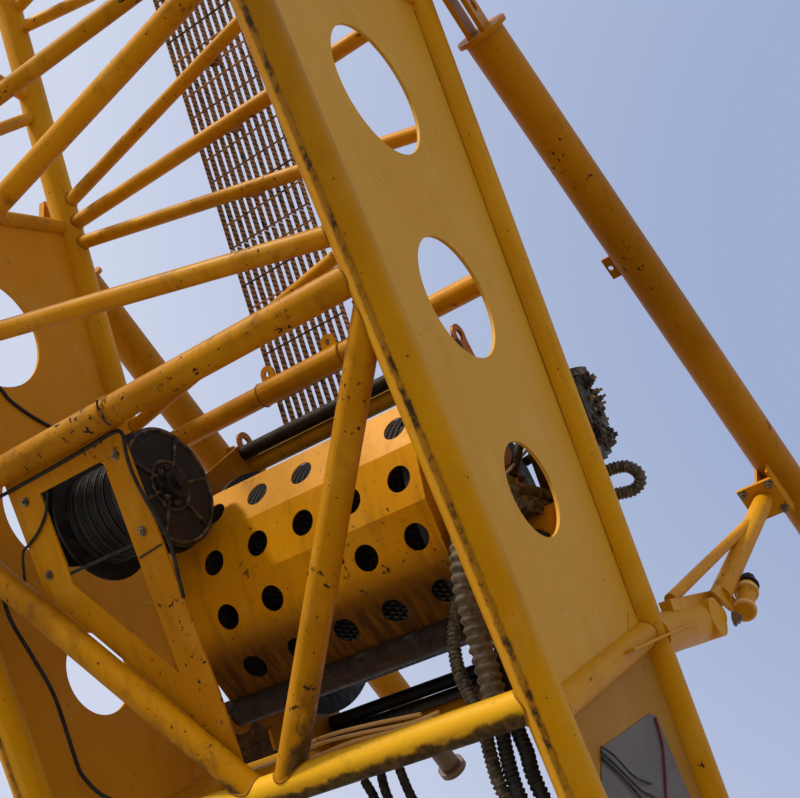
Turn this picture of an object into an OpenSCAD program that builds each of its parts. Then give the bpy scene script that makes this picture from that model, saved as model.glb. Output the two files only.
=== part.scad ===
// Butt section of a crawler crane's lattice boom, with its winches, walkway and backstops.
// It is drawn upright along its rear chords, X to the crane's front and Y to its left,
// and leaned forward about the foot pins at the end. Z is the station above the pins.

/* [Boom section] */
// Angle of the rear chords above the ground
boom_angle = 60; // [30:1:80]
// Length from the foot pins to the head pins
section_l = 9500; // [9300:50:10600]
// Distance between the left and right chord centres
chord_span = 2600; // [2560:10:2900]
// Distance between the front and rear chord centres at the foot pins
foot_depth = 787; // [740:10:900]
// Distance between the front and rear chord centres at the head pins
head_depth = 2183; // [2120:10:2500]
// Diameter of the four chords
chord_d = 168; // [150:2:180]

/* [Side panels] */
// Thickness of the side panels
panel_t = 16; // [8:1:30]
// Station of the side brace at the rear chord, where the two panels meet
brace_z = 3222; // [3200:2:3240]
// How much lower the side brace meets the front chord
brace_drop = 198; // [170:2:230]
// Diameter of the side brace
brace_d = 128; // [110:2:140]
// Diameter of the stub behind the rear chord
stub_d = 198; // [184:2:210]
// Length of the stub from the rear chord's centre
stub_l = 860; // [840:10:930]
// Station of the upper panel's top edge at the rear chord
panel_top_z = 6590; // [6560:5:6640]
// Diameter of the tube along the upper panel's top edge
panel_top_d = 100; // [80:2:110]
// Diameter of the panel's upper hole
hole_upper_d = 650; // [500:10:720]
// Diameter of the panel's middle hole
hole_middle_d = 580; // [450:10:640]
// Diameter of the panel's lower hole
hole_lower_d = 430; // [300:10:500]

/* [Foot and head] */
// Bore of each foot pin hole
foot_bore_d = 130; // [90:5:150]
// Outside diameter of the foot boss
foot_boss_d = 300; // [240:10:340]
// Width of the foot boss along the pin
foot_boss_w = 240; // [190:10:300]
// Station where the chords end on the foot forging
foot_top_z = 950; // [850:10:1100]
// Bore of each head lug
head_bore_d = 75; // [50:5:90]
// Thickness of each head lug
head_lug_t = 70; // [50:5:90]
// Outside diameter of each head lug's eye
head_eye_d = 180; // [160:5:220]

/* [Walkway] */
// Width of the walkway grating
walkway_w = 560; // [400:10:620]
// Depth of the grating's bearing bars
grating_h = 45; // [30:1:50]
// Thickness of the grating's bars
grating_t = 6; // [4:0.5:8]
// Number of bearing bars across the grating
grating_bars = 12; // [8:1:14]
// Distance between the grating's cross rods
grating_pitch = 140; // [100:5:180]
// Station of the walkway's lower end
walkway_z = 4880; // [4850:5:4980]
// Number of grating panels end to end
walkway_panels = 4; // [3:1:5]

/* [Main winch] */
// Station of the main winch's axis
winch_z = 3988; // [3960:2:4010]
// Distance of the winch's axis in front of the rear chords' centres
winch_x = 219; // [200:1:235]
// Radius of the drum's flanges
drum_flange_r = 640; // [600:5:650]
// Radius of the rope on the drum
rope_r = 555; // [520:5:580]
// Radius of the bare drum
drum_r = 400; // [350:5:450]
// Diameter of the winch rope
rope_d = 32; // [26:1:36]
// Distance from the winch's axis to the middle of each guard facet
guard_r = 672; // [660:1:680]
// Thickness of the guard's sheet
guard_t = 6; // [4:1:10]
// Diameter of the guard's holes
guard_hole_d = 120; // [80:5:140]
// Distance between the guard's holes along the drum
guard_pitch = 268; // [240:2:280]
// Radial clearance of each drum shaft in its bearing
shaft_gap = 0.08; // [0.02:0.01:0.1]

/* [Reeving winch] */
// Station of the reeving winch's axis
reeving_z = 4510; // [4500:2:4520]
// Distance of the reeving winch's axis in front of the rear chords' centres
reeving_x = 1074; // [1066:1:1080]
// Radius of the reeving drum's flanges
reeving_flange_r = 300; // [250:5:300]
// Radius of the rope on the reeving drum
reeving_rope_r = 225; // [180:5:240]

/* [Backstops] */
// Angle between each backstop and the rear chords
backstop_angle = 38; // [34:1:42]
// Outward splay of each backstop
backstop_splay = 2; // [0:0.5:4]
// Station of the backstop pins
backstop_z = 6620; // [6560:5:6680]
// Diameter of the backstop's outer tube
backstop_d = 224; // [204:4:240]
// Length of the outer tube from its flange
backstop_l = 3900; // [3700:20:4200]
// Wall of the outer tube
backstop_wall = 14; // [8:1:20]
// Diameter of the sliding rod
backstop_rod_d = 150; // [120:5:170]
// Diameter of the backstop's pins
backstop_pin_d = 60; // [40:2:70]
// Distance from the backstop's pin to its saddle
saddle_l = 3452; // [3380:4:3500]

/* [Hidden] */
$fn = 48;

yellow = [0.83, 0.58, 0.09];
tan_yellow = [0.72, 0.52, 0.16];
rust_brown = [0.36, 0.22, 0.11];
black_grease = [0.08, 0.075, 0.07];
rope_grey = [0.16, 0.15, 0.14];

span_y = chord_span / 2;
chord_r = chord_d / 2;
rear_x = -foot_depth / 2;
front_slope = (head_depth - foot_depth) / section_l;
front_lean = atan(front_slope);
square_slope = tan(front_lean / 2);
seat_gap = 0.3;
weld_gap = 0.1;

function front_x(z) = rear_x + foot_depth + front_slope * z;
function chord_point(face, side, z) = [face == "rear" ? rear_x : front_x(z), side * span_y, z];
function front_station(z) = (z - square_slope * foot_depth) / (1 + square_slope * front_slope);

module tube(a, b, d) {
    v = b - a;
    translate(a)
        rotate([0, acos(v.z / norm(v)), atan2(v.y, v.x)])
            cylinder(h = norm(v), d = d);
}

module at_angle() rotate([0, 90 - boom_angle, 0]) children();

// An outline drawn as x and z, given a thickness centred on y
module upright_plate(y, t) translate([0, y + t / 2, 0]) rotate([90, 0, 0]) linear_extrude(t) children();

module along_y(x, y, z) translate([x, y, z]) rotate([-90, 0, 0]) children();

// Chords

module chord(face, side, z0, z1) tube(chord_point(face, side, z0), chord_point(face, side, z1), chord_d);

module chords_cut() for (face = ["rear", "front"], side = [-1, 1]) chord(face, side, 0, section_l);

lug_root = 260;
chord_end_z = section_l - lug_root;

module rear_chord(side) color(yellow) at_angle() chord("rear", side, foot_top_z, chord_end_z);
module front_chord(side) color(yellow) at_angle() chord("front", side, foot_top_z, chord_end_z);
module rear_chord_left() rear_chord(1);
module rear_chord_right() rear_chord(-1);
module front_chord_left() front_chord(1);
module front_chord_right() front_chord(-1);

// Side panels, between the chords, meeting at the side brace

// Station, diameter and place of each hole across the panel, 0 at the rear chord and 1 at the front
panel_holes = [
    [5808, hole_upper_d, 0.51],
    [4792, hole_middle_d, 0.51],
    [3908, hole_lower_d, 0.51]
];
brace_front_z = brace_z - brace_drop;
stub_z = brace_z - 30;
stub_rise = 20;
stub_end_x = rear_x - stub_l;
barrel_x = rear_x - 716;
barrel_w = 204;

module brace_tube(side)
    tube([rear_x, side * span_y, brace_z], [front_x(brace_front_z), side * span_y, brace_front_z], brace_d);

// The stub, with a short barrel across its end
module stub_tube(side) {
    tube([stub_end_x, side * span_y, stub_z + stub_rise], [rear_x, side * span_y, stub_z], stub_d);
    along_y(barrel_x, side * span_y - barrel_w / 2, stub_z + 10) cylinder(h = barrel_w, d = stub_d);
}

module panel_top_tube(side)
    tube(chord_point("rear", side, panel_top_z), chord_point("front", side, front_station(panel_top_z)), panel_top_d);

module panel_outline()
    polygon([
        [rear_x, brace_z], [rear_x, panel_top_z],
        [front_x(front_station(panel_top_z)), front_station(panel_top_z)],
        [front_x(brace_front_z), brace_front_z]
    ]);

// A narrow slit in the upper panel's rear bottom corner
slit_l = 124;
slit_w = 8;

module corner_slit() translate([rear_x + 198, brace_z + 62]) rotate(-46) square([slit_l, slit_w], center = true);

module side_panel(side) color(tan_yellow) at_angle() difference() {
    upright_plate(side * span_y, panel_t) panel_outline();
    for (hole = panel_holes)
        along_y(rear_x + (front_x(hole[0]) - rear_x) * hole[2], side * span_y - panel_t, hole[0])
            cylinder(h = 2 * panel_t, d = hole[1], $fn = 96);
    upright_plate(side * span_y, 2 * panel_t) corner_slit();
    chord("rear", side, 0, section_l);
    chord("front", side, 0, section_l);
    brace_tube(side);
    panel_top_tube(side);
}
module side_panel_left() side_panel(1);
module side_panel_right() side_panel(-1);

module foot_panel(side) color(tan_yellow) at_angle() difference() {
    upright_plate(side * span_y, panel_t)
        polygon([
            [rear_x, foot_top_z], [rear_x, brace_z],
            [front_x(brace_front_z), brace_front_z], [front_x(foot_top_z), foot_top_z]
        ]);
    chord("rear", side, 0, section_l);
    chord("front", side, 0, section_l);
    brace_tube(side);
}
module foot_panel_left() foot_panel(1);
module foot_panel_right() foot_panel(-1);

// Foot forgings, each tapering from the two chords down to the pin boss

foot_web_t = 60;
foot_boss_r = foot_boss_d / 2;
foot_rim = 45;
foot_hole_d = 190;

module foot_outline(inset)
    polygon([
        [rear_x - chord_r + inset, foot_top_z - inset],
        [front_x(foot_top_z) + chord_r - inset, foot_top_z - inset],
        [foot_boss_r * 0.92, foot_boss_r * 0.38],
        [-foot_boss_r * 0.92, foot_boss_r * 0.38]
    ]);

module foot_forging(side) difference() {
    union() {
        upright_plate(side * span_y, chord_d) difference() {
            foot_outline(0);
            foot_outline(foot_rim);
        }
        upright_plate(side * span_y, foot_web_t) foot_outline(0);
        along_y(0, side * span_y - foot_boss_w / 2, 0) cylinder(h = foot_boss_w, d = foot_boss_d);
    }
    along_y(0, side * span_y - foot_boss_w, 0) cylinder(h = 2 * foot_boss_w, d = foot_bore_d);
    along_y(0, side * span_y - foot_boss_w, foot_top_z * 0.6)
        cylinder(h = 2 * foot_boss_w, d = foot_hole_d);
    for (face = ["rear", "front"]) chord(face, side, foot_top_z, section_l);
}
module foot_forgings() color(yellow) at_angle() for (side = [-1, 1]) foot_forging(side);

// Head lugs, one eye at the end of each chord

module head_lug(lean) rotate([0, lean, 0]) difference() {
    union() {
        translate([0, 0, weld_gap - lug_root / cos(lean)]) cylinder(h = 60, d = chord_d);
        upright_plate(0, head_lug_t) {
            translate([-head_eye_d / 2, -lug_root + 40]) square([head_eye_d, lug_root - 40]);
            circle(d = head_eye_d);
        }
    }
    along_y(0, -head_lug_t, 0) cylinder(h = 2 * head_lug_t, d = head_bore_d);
}
module head_lugs() color(yellow) at_angle() for (side = [-1, 1]) {
    translate(chord_point("rear", side, section_l)) head_lug(0);
    translate(chord_point("front", side, section_l)) head_lug(front_lean);
}

// Side braces with the stubs that carry the backstops' rests

fin_l = 810;
fin_w = 110;
fin_t = 11;

// A plate along the outer side of the brace and its stub, passing the chord
module brace_fin(side)
    translate([rear_x - 315, side > 0 ? span_y : -span_y - fin_w, stub_z + 4])
        rotate([0, 3, 0]) cube([fin_l, fin_w, fin_t]);

module side_braces() color(yellow) at_angle() difference() {
    for (side = [-1, 1]) {
        brace_tube(side);
        stub_tube(side);
        brace_fin(side);
    }
    chords_cut();
    cross_tubes("front", front_cross);
    cross_tubes("rear", rear_cross);
}

// Open lattice of the sides, above the panels

// Rear station, front station and diameter of each tube
head_frame_z = section_l - 420;
side_bay = (head_frame_z - panel_top_z - 800) / 2;
side_tubes = [
    [panel_top_z + 800, panel_top_z - 160, 76],
    [panel_top_z + 900, panel_top_z + side_bay + 560, 76],
    [panel_top_z + 900 + side_bay, panel_top_z + side_bay + 680, 76],
    [head_frame_z, front_station(head_frame_z), 108]
];

module side_lattice() color(yellow) at_angle() for (side = [-1, 1]) difference() {
    union() {
        panel_top_tube(side);
        difference() {
            for (t = side_tubes)
                tube(chord_point("rear", side, t[0]), chord_point("front", side, t[1]), t[2]);
            upright_plate(side * span_y, panel_t) panel_outline();
        }
    }
    chord("rear", side, 0, section_l);
    chord("front", side, 0, section_l);
}

// Lacing of the front and rear faces

module face_tube(face, left_z, right_z, d)
    tube(chord_point(face, 1, left_z), chord_point(face, -1, right_z), d);

// Station and diameter of each cross tube
front_upper_z = 6290;
front_cross = [[3080, 140], [4800, 133], [front_upper_z, 83], [front_station(head_frame_z), 108]];
rear_cross = [[3170, 121], [5070, 121], [panel_top_z + 10, 89], [head_frame_z, 108]];

// Left station, right station and diameter of each diagonal
front_upper = (front_station(head_frame_z) - front_upper_z) / 3;
front_laces = [
    [4970, 5540, 89],
    [6190, 5660, 108],
    [6420, front_upper_z + front_upper, 89],
    [front_upper_z + 2 * front_upper, front_upper_z + front_upper + 140, 89],
    [front_upper_z + 2 * front_upper + 140, front_station(head_frame_z) - 120, 89]
];
rear_upper_z = 7460;
lace_gap = 120;
rear_upper = (head_frame_z - rear_upper_z) / 3;
rear_laces = [
    [5745, 5250, 76],
    [5890, 6480, 83],
    [7340, 6730, 83],
    [rear_upper_z, rear_upper_z + rear_upper, 76],
    [rear_upper_z + 2 * rear_upper, rear_upper_z + rear_upper + lace_gap, 76],
    [rear_upper_z + 2 * rear_upper + lace_gap, head_frame_z - lace_gap, 76]
];

module cross_tubes(face, table) for (t = table) face_tube(face, t[0], t[0], t[1]);

module front_cross_tubes() color(yellow) at_angle() difference() {
    cross_tubes("front", front_cross);
    chords_cut();
}
module front_diagonals() color(yellow) at_angle() difference() {
    for (t = front_laces) face_tube("front", t[0], t[1], t[2]);
    chords_cut();
    cross_tubes("front", front_cross);
}
// A sleeve and two lifting eyes on the tube that carries the walkway's lower end
sleeve_d = 133;
sleeve_ends = [-305, 250];
eye_places = [-238, 182];
eye_d = 88;
eye_hole_d = 34;
eye_t = 14;
eye_rise = 98;

module tube_sleeve()
    along_y(rear_x, sleeve_ends[0], rear_cross[1][0]) cylinder(h = sleeve_ends[1] - sleeve_ends[0], d = sleeve_d);

module lifting_eye() translate([-eye_t / 2, 0, 0]) rotate([90, 0, 90]) linear_extrude(eye_t) difference() {
    union() {
        translate([0, eye_rise]) circle(d = eye_d);
        translate([-eye_d / 2, 0]) square([eye_d, eye_rise]);
    }
    translate([0, eye_rise]) circle(d = eye_hole_d);
}

module rear_cross_tubes() color(yellow) at_angle() difference() {
    union() {
        cross_tubes("rear", rear_cross);
        tube_sleeve();
        for (y = eye_places) translate([rear_x, y, rear_cross[1][0]]) lifting_eye();
    }
    chords_cut();
}
module rear_diagonals() color(yellow) at_angle() difference() {
    for (t = rear_laces) face_tube("rear", t[0], t[1], t[2]);
    chords_cut();
    cross_tubes("rear", rear_cross);
}

// Two braces that rise from the middle of the lowest front tube to the chords
k_brace_d = 127;
k_foot_y = 78;
k_top_z = front_cross[1][0] - 80;

module k_brace(side)
    tube([front_x(front_cross[0][0]), side * k_foot_y, front_cross[0][0]],
         chord_point("front", side, k_top_z), k_brace_d);

module front_k_braces() color(yellow) at_angle() difference() {
    for (side = [-1, 1]) k_brace(side);
    chords_cut();
    cross_tubes("front", front_cross);
}

// Walkway grating, on the outer side of the rear face

walkway_x = rear_x - sleeve_d / 2 - grating_h;
walkway_l = (head_frame_z + 100 - walkway_z) / walkway_panels;
panel_gap = 8;
bar_step = (walkway_w - grating_t) / (grating_bars - 1);

module grating_panel(l) {
    for (i = [0 : grating_bars - 1])
        translate([0, i * bar_step - walkway_w / 2, 0]) cube([grating_h, grating_t, l]);
    for (z = [0 : grating_pitch : l - grating_t])
        translate([grating_h - 2 * grating_t, -walkway_w / 2, z]) cube([grating_t * 2, walkway_w, grating_t]);
}

// Cleats between the grating and each tube that it crosses
cleat_w = 60;
walkway_crossings = [
    for (z = concat([for (t = rear_cross) t[0]], [for (t = rear_laces) (t[0] + t[1]) / 2]))
        if (z > walkway_z && z < walkway_z + walkway_panels * walkway_l) z
];

module walkway_grating() color(rust_brown) at_angle() difference() {
    union() {
        for (i = [0 : walkway_panels - 1])
            translate([walkway_x, 0, walkway_z + i * walkway_l]) grating_panel(walkway_l - panel_gap);
        for (z = walkway_crossings)
            translate([walkway_x + grating_h / 2, -cleat_w / 2, z - cleat_w / 2])
                cube([rear_x - walkway_x - grating_h / 2, cleat_w, cleat_w]);
    }
    cross_tubes("rear", rear_cross);
    tube_sleeve();
    for (t = rear_laces) face_tube("rear", t[0], t[1], t[2]);
}

// Beams that carry the main winch, ending flush with the winch frames

axis_x = rear_x + winch_x;
frame_t = 16;
frame_left_y = 915;
frame_right_y = -495;
winch_right = frame_right_y - frame_t / 2;
winch_left = frame_left_y + frame_t / 2;

// Place in front of the rear chords, station, diameter, right end, left end and colour of each beam
beams = [
    [0, winch_z + 752, 90, -span_y, winch_left, yellow],
    [74, winch_z + 816, 78, winch_right, winch_left, rust_brown],
    [winch_x + 494, winch_z - 517, 126, winch_right, winch_left, rust_brown],
    [0, winch_z - 673, 69, winch_right, winch_left, black_grease]
];

module beam(b) tube([rear_x + b[0], b[3], b[1]], [rear_x + b[0], b[4], b[1]], b[2]);

module winch_beams() at_angle() for (b = beams) color(b[5]) difference() {
    beam(b);
    chord("rear", -1, 0, section_l);
}

// Main winch

boss_w = 60;
shaft_d = 120;
bearing_d = 260;
ear_d = 124;
ear_hole_d = 60;
tube_boss_d = 196;

// The guard's facets, each turned from the last, seen along the drum
facet = 22.5;
guard_tilt = 2;
guard_facets = 4;

function facet_angle(i) = guard_tilt + (i - (guard_facets - 1) / 2) * facet;

// The frame's upper and lower corners, in front of the rear chords and above the winch's axis
frame_top = [[-86, 720], [-36, 870], [94, 862], [232, 794], [522, 651]];
frame_bottom = [[513, -627], [518, -724]];
ear_at = [rear_x + 24, winch_z + 880];

function guard_point(r, i) =
    let (a = facet_angle(i - 0.5))
    [axis_x + r / cos(facet / 2) * cos(a), winch_z + r / cos(facet / 2) * sin(a)];

module guard_ring(inner, outer) polygon(concat(
    [for (i = [0 : guard_facets]) guard_point(outer, i)],
    [for (i = [guard_facets : -1 : 0]) guard_point(inner, i)]
));

module frame_outline() difference() {
    union() {
        polygon(concat(
            [[rear_x - 86, rear_cross[0][0]]],
            [for (p = frame_top) [rear_x + p[0], winch_z + p[1]]],
            [for (i = [guard_facets : -1 : 0]) guard_point(guard_r, i)],
            [for (p = frame_bottom) [rear_x + p[0], winch_z + p[1]]],
            [[rear_x + 60, rear_cross[0][0]]]
        ));
        translate(ear_at) circle(d = ear_d);
        translate([rear_x + beams[2][0], beams[2][1]]) circle(d = tube_boss_d);
    }
    translate(ear_at) circle(d = ear_hole_d);
    translate([axis_x, winch_z]) circle(d = shaft_d + 2 * shaft_gap);
    guard_ring(guard_r - guard_t, guard_r + tube_boss_d);
}

module winch_frame(y) difference() {
    union() {
        upright_plate(y, frame_t) frame_outline();
        along_y(axis_x, y - boss_w / 2, winch_z) cylinder(h = boss_w, d = bearing_d);
    }
    along_y(axis_x, y - boss_w, winch_z) cylinder(h = 2 * boss_w, d = shaft_d + 2 * shaft_gap);
    for (b = beams) beam(b);
    cross_tubes("rear", rear_cross);
}
module winch_frame_left() color(yellow) at_angle() winch_frame(frame_left_y);
module winch_frame_right() color(yellow) at_angle() winch_frame(frame_right_y);

drum_y0 = frame_right_y + 155;
drum_y1 = frame_left_y - 65;
drum_flange_t = 30;

module drum() color(black_grease) at_angle() {
    along_y(axis_x, frame_right_y - boss_w, winch_z)
        cylinder(h = frame_left_y - frame_right_y + 1.5 * boss_w, d = shaft_d);
    along_y(axis_x, drum_y0, winch_z) cylinder(h = drum_y1 - drum_y0, r = drum_r);
    for (y = [drum_y0, drum_y1 - drum_flange_t])
        along_y(axis_x, y, winch_z) cylinder(h = drum_flange_t, r = drum_flange_r, $fn = 96);
}

// Rope wound on a drum: a sleeve whose outside has one ridge for each turn
module wound_rope(inner_r, outer_r, w, d) {
    turns = floor(w / d);
    step = w / turns;
    groove = d * 0.3;
    rotate_extrude($fn = 96) polygon(concat(
        [[inner_r, 0]],
        [for (i = [0 : turns - 1], p = [[0, 0], [0.25, 1], [0.75, 1]])
            [outer_r - groove * (1 - p[1]), (i + p[0]) * step]],
        [[outer_r - groove, w], [inner_r, w]]
    ));
}

module drum_rope() color(rope_grey) at_angle()
    along_y(axis_x, drum_y0 + drum_flange_t, winch_z)
        wound_rope(drum_r, rope_r, drum_y1 - drum_y0 - 2 * drum_flange_t, rope_d);

// A hub on the drum's end, with a drop plate down to the motor
hub_d = 340;
hub_l = 60;
drop_t = 30;
motor_d = 260;
motor_l = 235;
motor_at = [axis_x - 30, winch_z - 222];

module winch_gearbox() color(yellow) at_angle() translate([0, frame_left_y + boss_w / 2, 0]) {
    along_y(axis_x, 0, winch_z) cylinder(h = hub_l, d = hub_d);
    along_y(motor_at.x, 0, motor_at.y) cylinder(h = motor_l, d = motor_d);
    upright_plate(drop_t / 2, drop_t) polygon([
        [axis_x - hub_d / 2.2, winch_z], [axis_x + hub_d / 2.2, winch_z],
        [motor_at.x + motor_d / 2.2, motor_at.y], [motor_at.x - motor_d / 2.2, motor_at.y]
    ]);
}

// Faceted guard in front of the drum, with a row of holes along each facet

guard_columns = 5;
guard_hole_y = 277;

module winch_guard() color(yellow) at_angle() difference() {
    translate([0, winch_left, 0]) rotate([90, 0, 0])
        linear_extrude(winch_left - winch_right) guard_ring(guard_r - guard_t, guard_r);
    for (i = [0 : guard_facets - 1], j = [0 : guard_columns - 1])
        translate([axis_x, guard_hole_y + (j - (guard_columns - 1) / 2) * guard_pitch, winch_z])
            rotate([0, 90 - facet_angle(i), 0])
                translate([0, 0, guard_r - 40]) cylinder(h = 80, d = guard_hole_d);
    for (b = beams) beam(b);
}

// Hydraulic valve block behind the left rear chord

module valve_block() color(black_grease) at_angle() difference() {
    translate([rear_x - chord_r, span_y - 60, 4060]) {
        translate([-150, -90, 0]) cube([150 + chord_r, 180, 60]);
        translate([-230, 0, 40]) cylinder(h = 400, d = 170);
        translate([-330, -110, 180]) cube([230, 200, 160]);
        translate([-230, 0, 440]) cylinder(h = 40, d = 220);
    }
    chord("rear", 1, 0, section_l);
}

// Reeving winch, hung behind the front tubes

reeving_axis_x = rear_x + reeving_x;
reeving_plate_t = 12;
reeving_shaft_d = 70;
reeving_y0 = -675;
reeving_y1 = -290;
cheek_t = 16;
hang_offset = k_brace_d / 2 + reeving_plate_t;

// The frame's outline as y and station, on the plane behind the K braces
reeving_top_z = front_cross[1][0];
reeving_foot_z = 3225;
reeving_outside = [
    [-870, reeving_top_z], [-128, reeving_top_z], [-134, 3535], [-150, reeving_foot_z],
    [-190, reeving_foot_z], [-250, 3370], [-850, 4200], [-865, 4290]
];
reeving_window = [
    [-687, reeving_top_z - 160], [-279, reeving_top_z - 160], [-296, 3660], [-687, 4205]
];

module reeving_outline() difference() {
    polygon(reeving_outside);
    polygon(reeving_window);
}

module on_front_plane() translate([rear_x + foot_depth, 0, 0]) rotate([0, front_lean, 0]) children();

module reeving_frame() color(yellow) at_angle() difference() {
    on_front_plane() scale([1, 1, 1 / cos(front_lean)])
        translate([-hang_offset, 0, 0]) rotate([90, 0, 90]) linear_extrude(reeving_plate_t) reeving_outline();
    face_tube("front", front_cross[1][0], front_cross[1][0], front_cross[1][1]);
}

cheek_reach = 200;

module cheek(y, r) upright_plate(y, cheek_t) difference() {
    union() {
        translate([reeving_axis_x, reeving_z]) circle(r = r);
        polygon([
            [reeving_axis_x, reeving_z - r], [reeving_axis_x, reeving_z + r],
            [front_x(reeving_z + cheek_reach) - hang_offset, reeving_z + cheek_reach],
            [front_x(reeving_z - cheek_reach) - hang_offset, reeving_z - cheek_reach]
        ]);
    }
    translate([reeving_axis_x, reeving_z]) circle(d = reeving_shaft_d + 2 * shaft_gap);
}
module reeving_cheeks() color(black_grease) at_angle() difference() {
    union() {
        cheek(reeving_y0 - 60, 200);
        cheek(reeving_y1 + 60, 290);
    }
    on_front_plane() translate([-hang_offset - weld_gap, reeving_y0 - span_y, 0]) cube([span_y, 2 * span_y, section_l]);
}

module reeving_drum() color(black_grease) at_angle() {
    along_y(reeving_axis_x, reeving_y0 - 75, reeving_z)
        cylinder(h = reeving_y1 - reeving_y0 + 150, d = reeving_shaft_d);
    along_y(reeving_axis_x, reeving_y0, reeving_z) cylinder(h = reeving_y1 - reeving_y0, d = 300);
    for (y = [reeving_y0, reeving_y1 - 14])
        along_y(reeving_axis_x, y, reeving_z) cylinder(h = 14, r = reeving_flange_r, $fn = 96);
}
module reeving_rope() color(rope_grey) at_angle()
    along_y(reeving_axis_x, reeving_y0 + 14, reeving_z)
        wound_rope(150, reeving_rope_r, reeving_y1 - reeving_y0 - 28, 18);

// Backstops, hung from lugs on the outer side of the rear chords

backstop_y = span_y + 187;
fork_gap = 5;
fork_t = 25;
fork_r = 75;
lug_t = 44;
lug_base_w = 60;
lug_base_h = 160;
lug_tip_h = 260;
fork_l = 310;
fork_hole_d = 64;
fork_hole_l = 185;
side_eye_l = 1805;
side_eye_w = 66;
flange_t = 25;
rod_out = 520;
pin_gap = 0.5;
rod_gap = 0.4;
gland_l = 90;

module at_pin(side) translate([rear_x - 26, side * backstop_y, backstop_z]) children();
module along_fork(side) at_pin(side) rotate([0, 180 + backstop_angle, 0]) children();
module along_backstop(side) along_fork(side) rotate([-backstop_splay * side, 0, 0]) children();

module backstop_lugs() color(yellow) at_angle() for (side = [-1, 1]) difference() {
    union() {
        at_pin(side) upright_plate(0, lug_t) {
            circle(r = fork_r);
            polygon([
                [-fork_r, 0], [fork_r, 0], [lug_base_w - fork_r, lug_tip_h], [-fork_r, lug_tip_h]
            ]);
        }
        at_pin(side) translate([-fork_r, side > 0 ? span_y - backstop_y : 0, fork_r + 10])
            cube([lug_base_w, backstop_y - span_y, lug_base_h]);
        at_pin(side) along_y(0, -95, 0) cylinder(h = 190, d = backstop_pin_d);
    }
    chord("rear", side, 0, section_l);
}

module backstop_tube(side) color(yellow) at_angle() {
    along_fork(side) for (s = [-1, 1]) difference() {
        translate([0, s * (lug_t / 2 + fork_gap + fork_t / 2), 0])
            rotate([90, 0, 0]) translate([0, 0, -fork_t / 2]) linear_extrude(fork_t) {
                circle(r = fork_r);
                translate([-fork_r, 0]) square([2 * fork_r, fork_l + flange_t / 2]);
            }
        along_y(0, -fork_l, 0) cylinder(h = 2 * fork_l, d = backstop_pin_d + 2 * pin_gap);
        if (s == side) along_y(0, -fork_l, fork_hole_l) cylinder(h = 2 * fork_l, d = fork_hole_d);
    }
    along_backstop(side) {
        translate([0, -side * (backstop_d / 2 + side_eye_w / 3), side_eye_l]) difference() {
            cube([16, side_eye_w, 2 * side_eye_w], center = true);
            rotate([0, 90, 0]) translate([0, -side * side_eye_w / 6, -16]) cylinder(h = 32, d = 30);
        }
        translate([0, 0, fork_l]) cylinder(h = flange_t, d = backstop_d + 64);
        translate([0, 0, fork_l + flange_t]) difference() {
            cylinder(h = backstop_l, d = backstop_d);
            translate([0, 0, 20]) cylinder(h = backstop_l - gland_l - 20, d = backstop_d - 2 * backstop_wall);
            translate([0, 0, 20]) cylinder(h = backstop_l, d = backstop_rod_d + 2 * rod_gap);
        }
        translate([0, 0, fork_l + flange_t + backstop_l - 60]) difference() {
            cylinder(h = 60, d = backstop_d + 36);
            translate([0, 0, -1]) cylinder(h = 62, d = backstop_rod_d + 2 * rod_gap);
        }
    }
}
module backstop_tube_left() backstop_tube(1);
module backstop_tube_right() backstop_tube(-1);

module backstop_rod(side) color(rope_grey) at_angle() along_backstop(side)
    translate([0, 0, fork_l + flange_t + backstop_l]) {
        translate([0, 0, -700]) cylinder(h = 120, d = backstop_d - 2 * backstop_wall - 2);
        translate([0, 0, -600]) cylinder(h = 600 + rod_out, d = backstop_rod_d);
        translate([0, 0, rod_out]) cylinder(h = 50, d = backstop_rod_d + 60);
    }
module backstop_rod_left() backstop_rod(1);
module backstop_rod_right() backstop_rod(-1);

// Rest brackets, each two arms from the stub to a saddle under the backstop

saddle_drop = 83;
saddle_inboard = 110;
saddle_w = 222;
saddle_h = 246;
saddle_t = 20;
web_t = 16;
web_l = 320;
near_web = 8;
far_web = 95;
arm_d = 112;
rest_brace_d = 60;
arm_join = 0.83;
rest_end_x = rear_x - 1030;
ledge_l = 768;
sleeve_r = 50;
clamp_t = 20;

function backstop_point(side, x, y, l) =
    let (
        a = 180 + backstop_angle,
        s = backstop_splay * side,
        yy = y * cos(s) + l * sin(s),
        ll = l * cos(s) - y * sin(s)
    )
    [rear_x - 26 + x * cos(a) + ll * sin(a), side * backstop_y + yy, backstop_z - x * sin(a) + ll * cos(a)];

function saddle_centre(side) =
    backstop_point(side, -backstop_d / 2 - saddle_drop - saddle_t / 2, -side * saddle_inboard, saddle_l);

function arm_foot(side) = [rest_end_x + 110, side * (span_y + 81), stub_z + 106];

module saddle_block(side, y, w, x, h, l)
    translate([x, -side * y - w / 2, -l / 2]) cube([h, w, l]);

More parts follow.
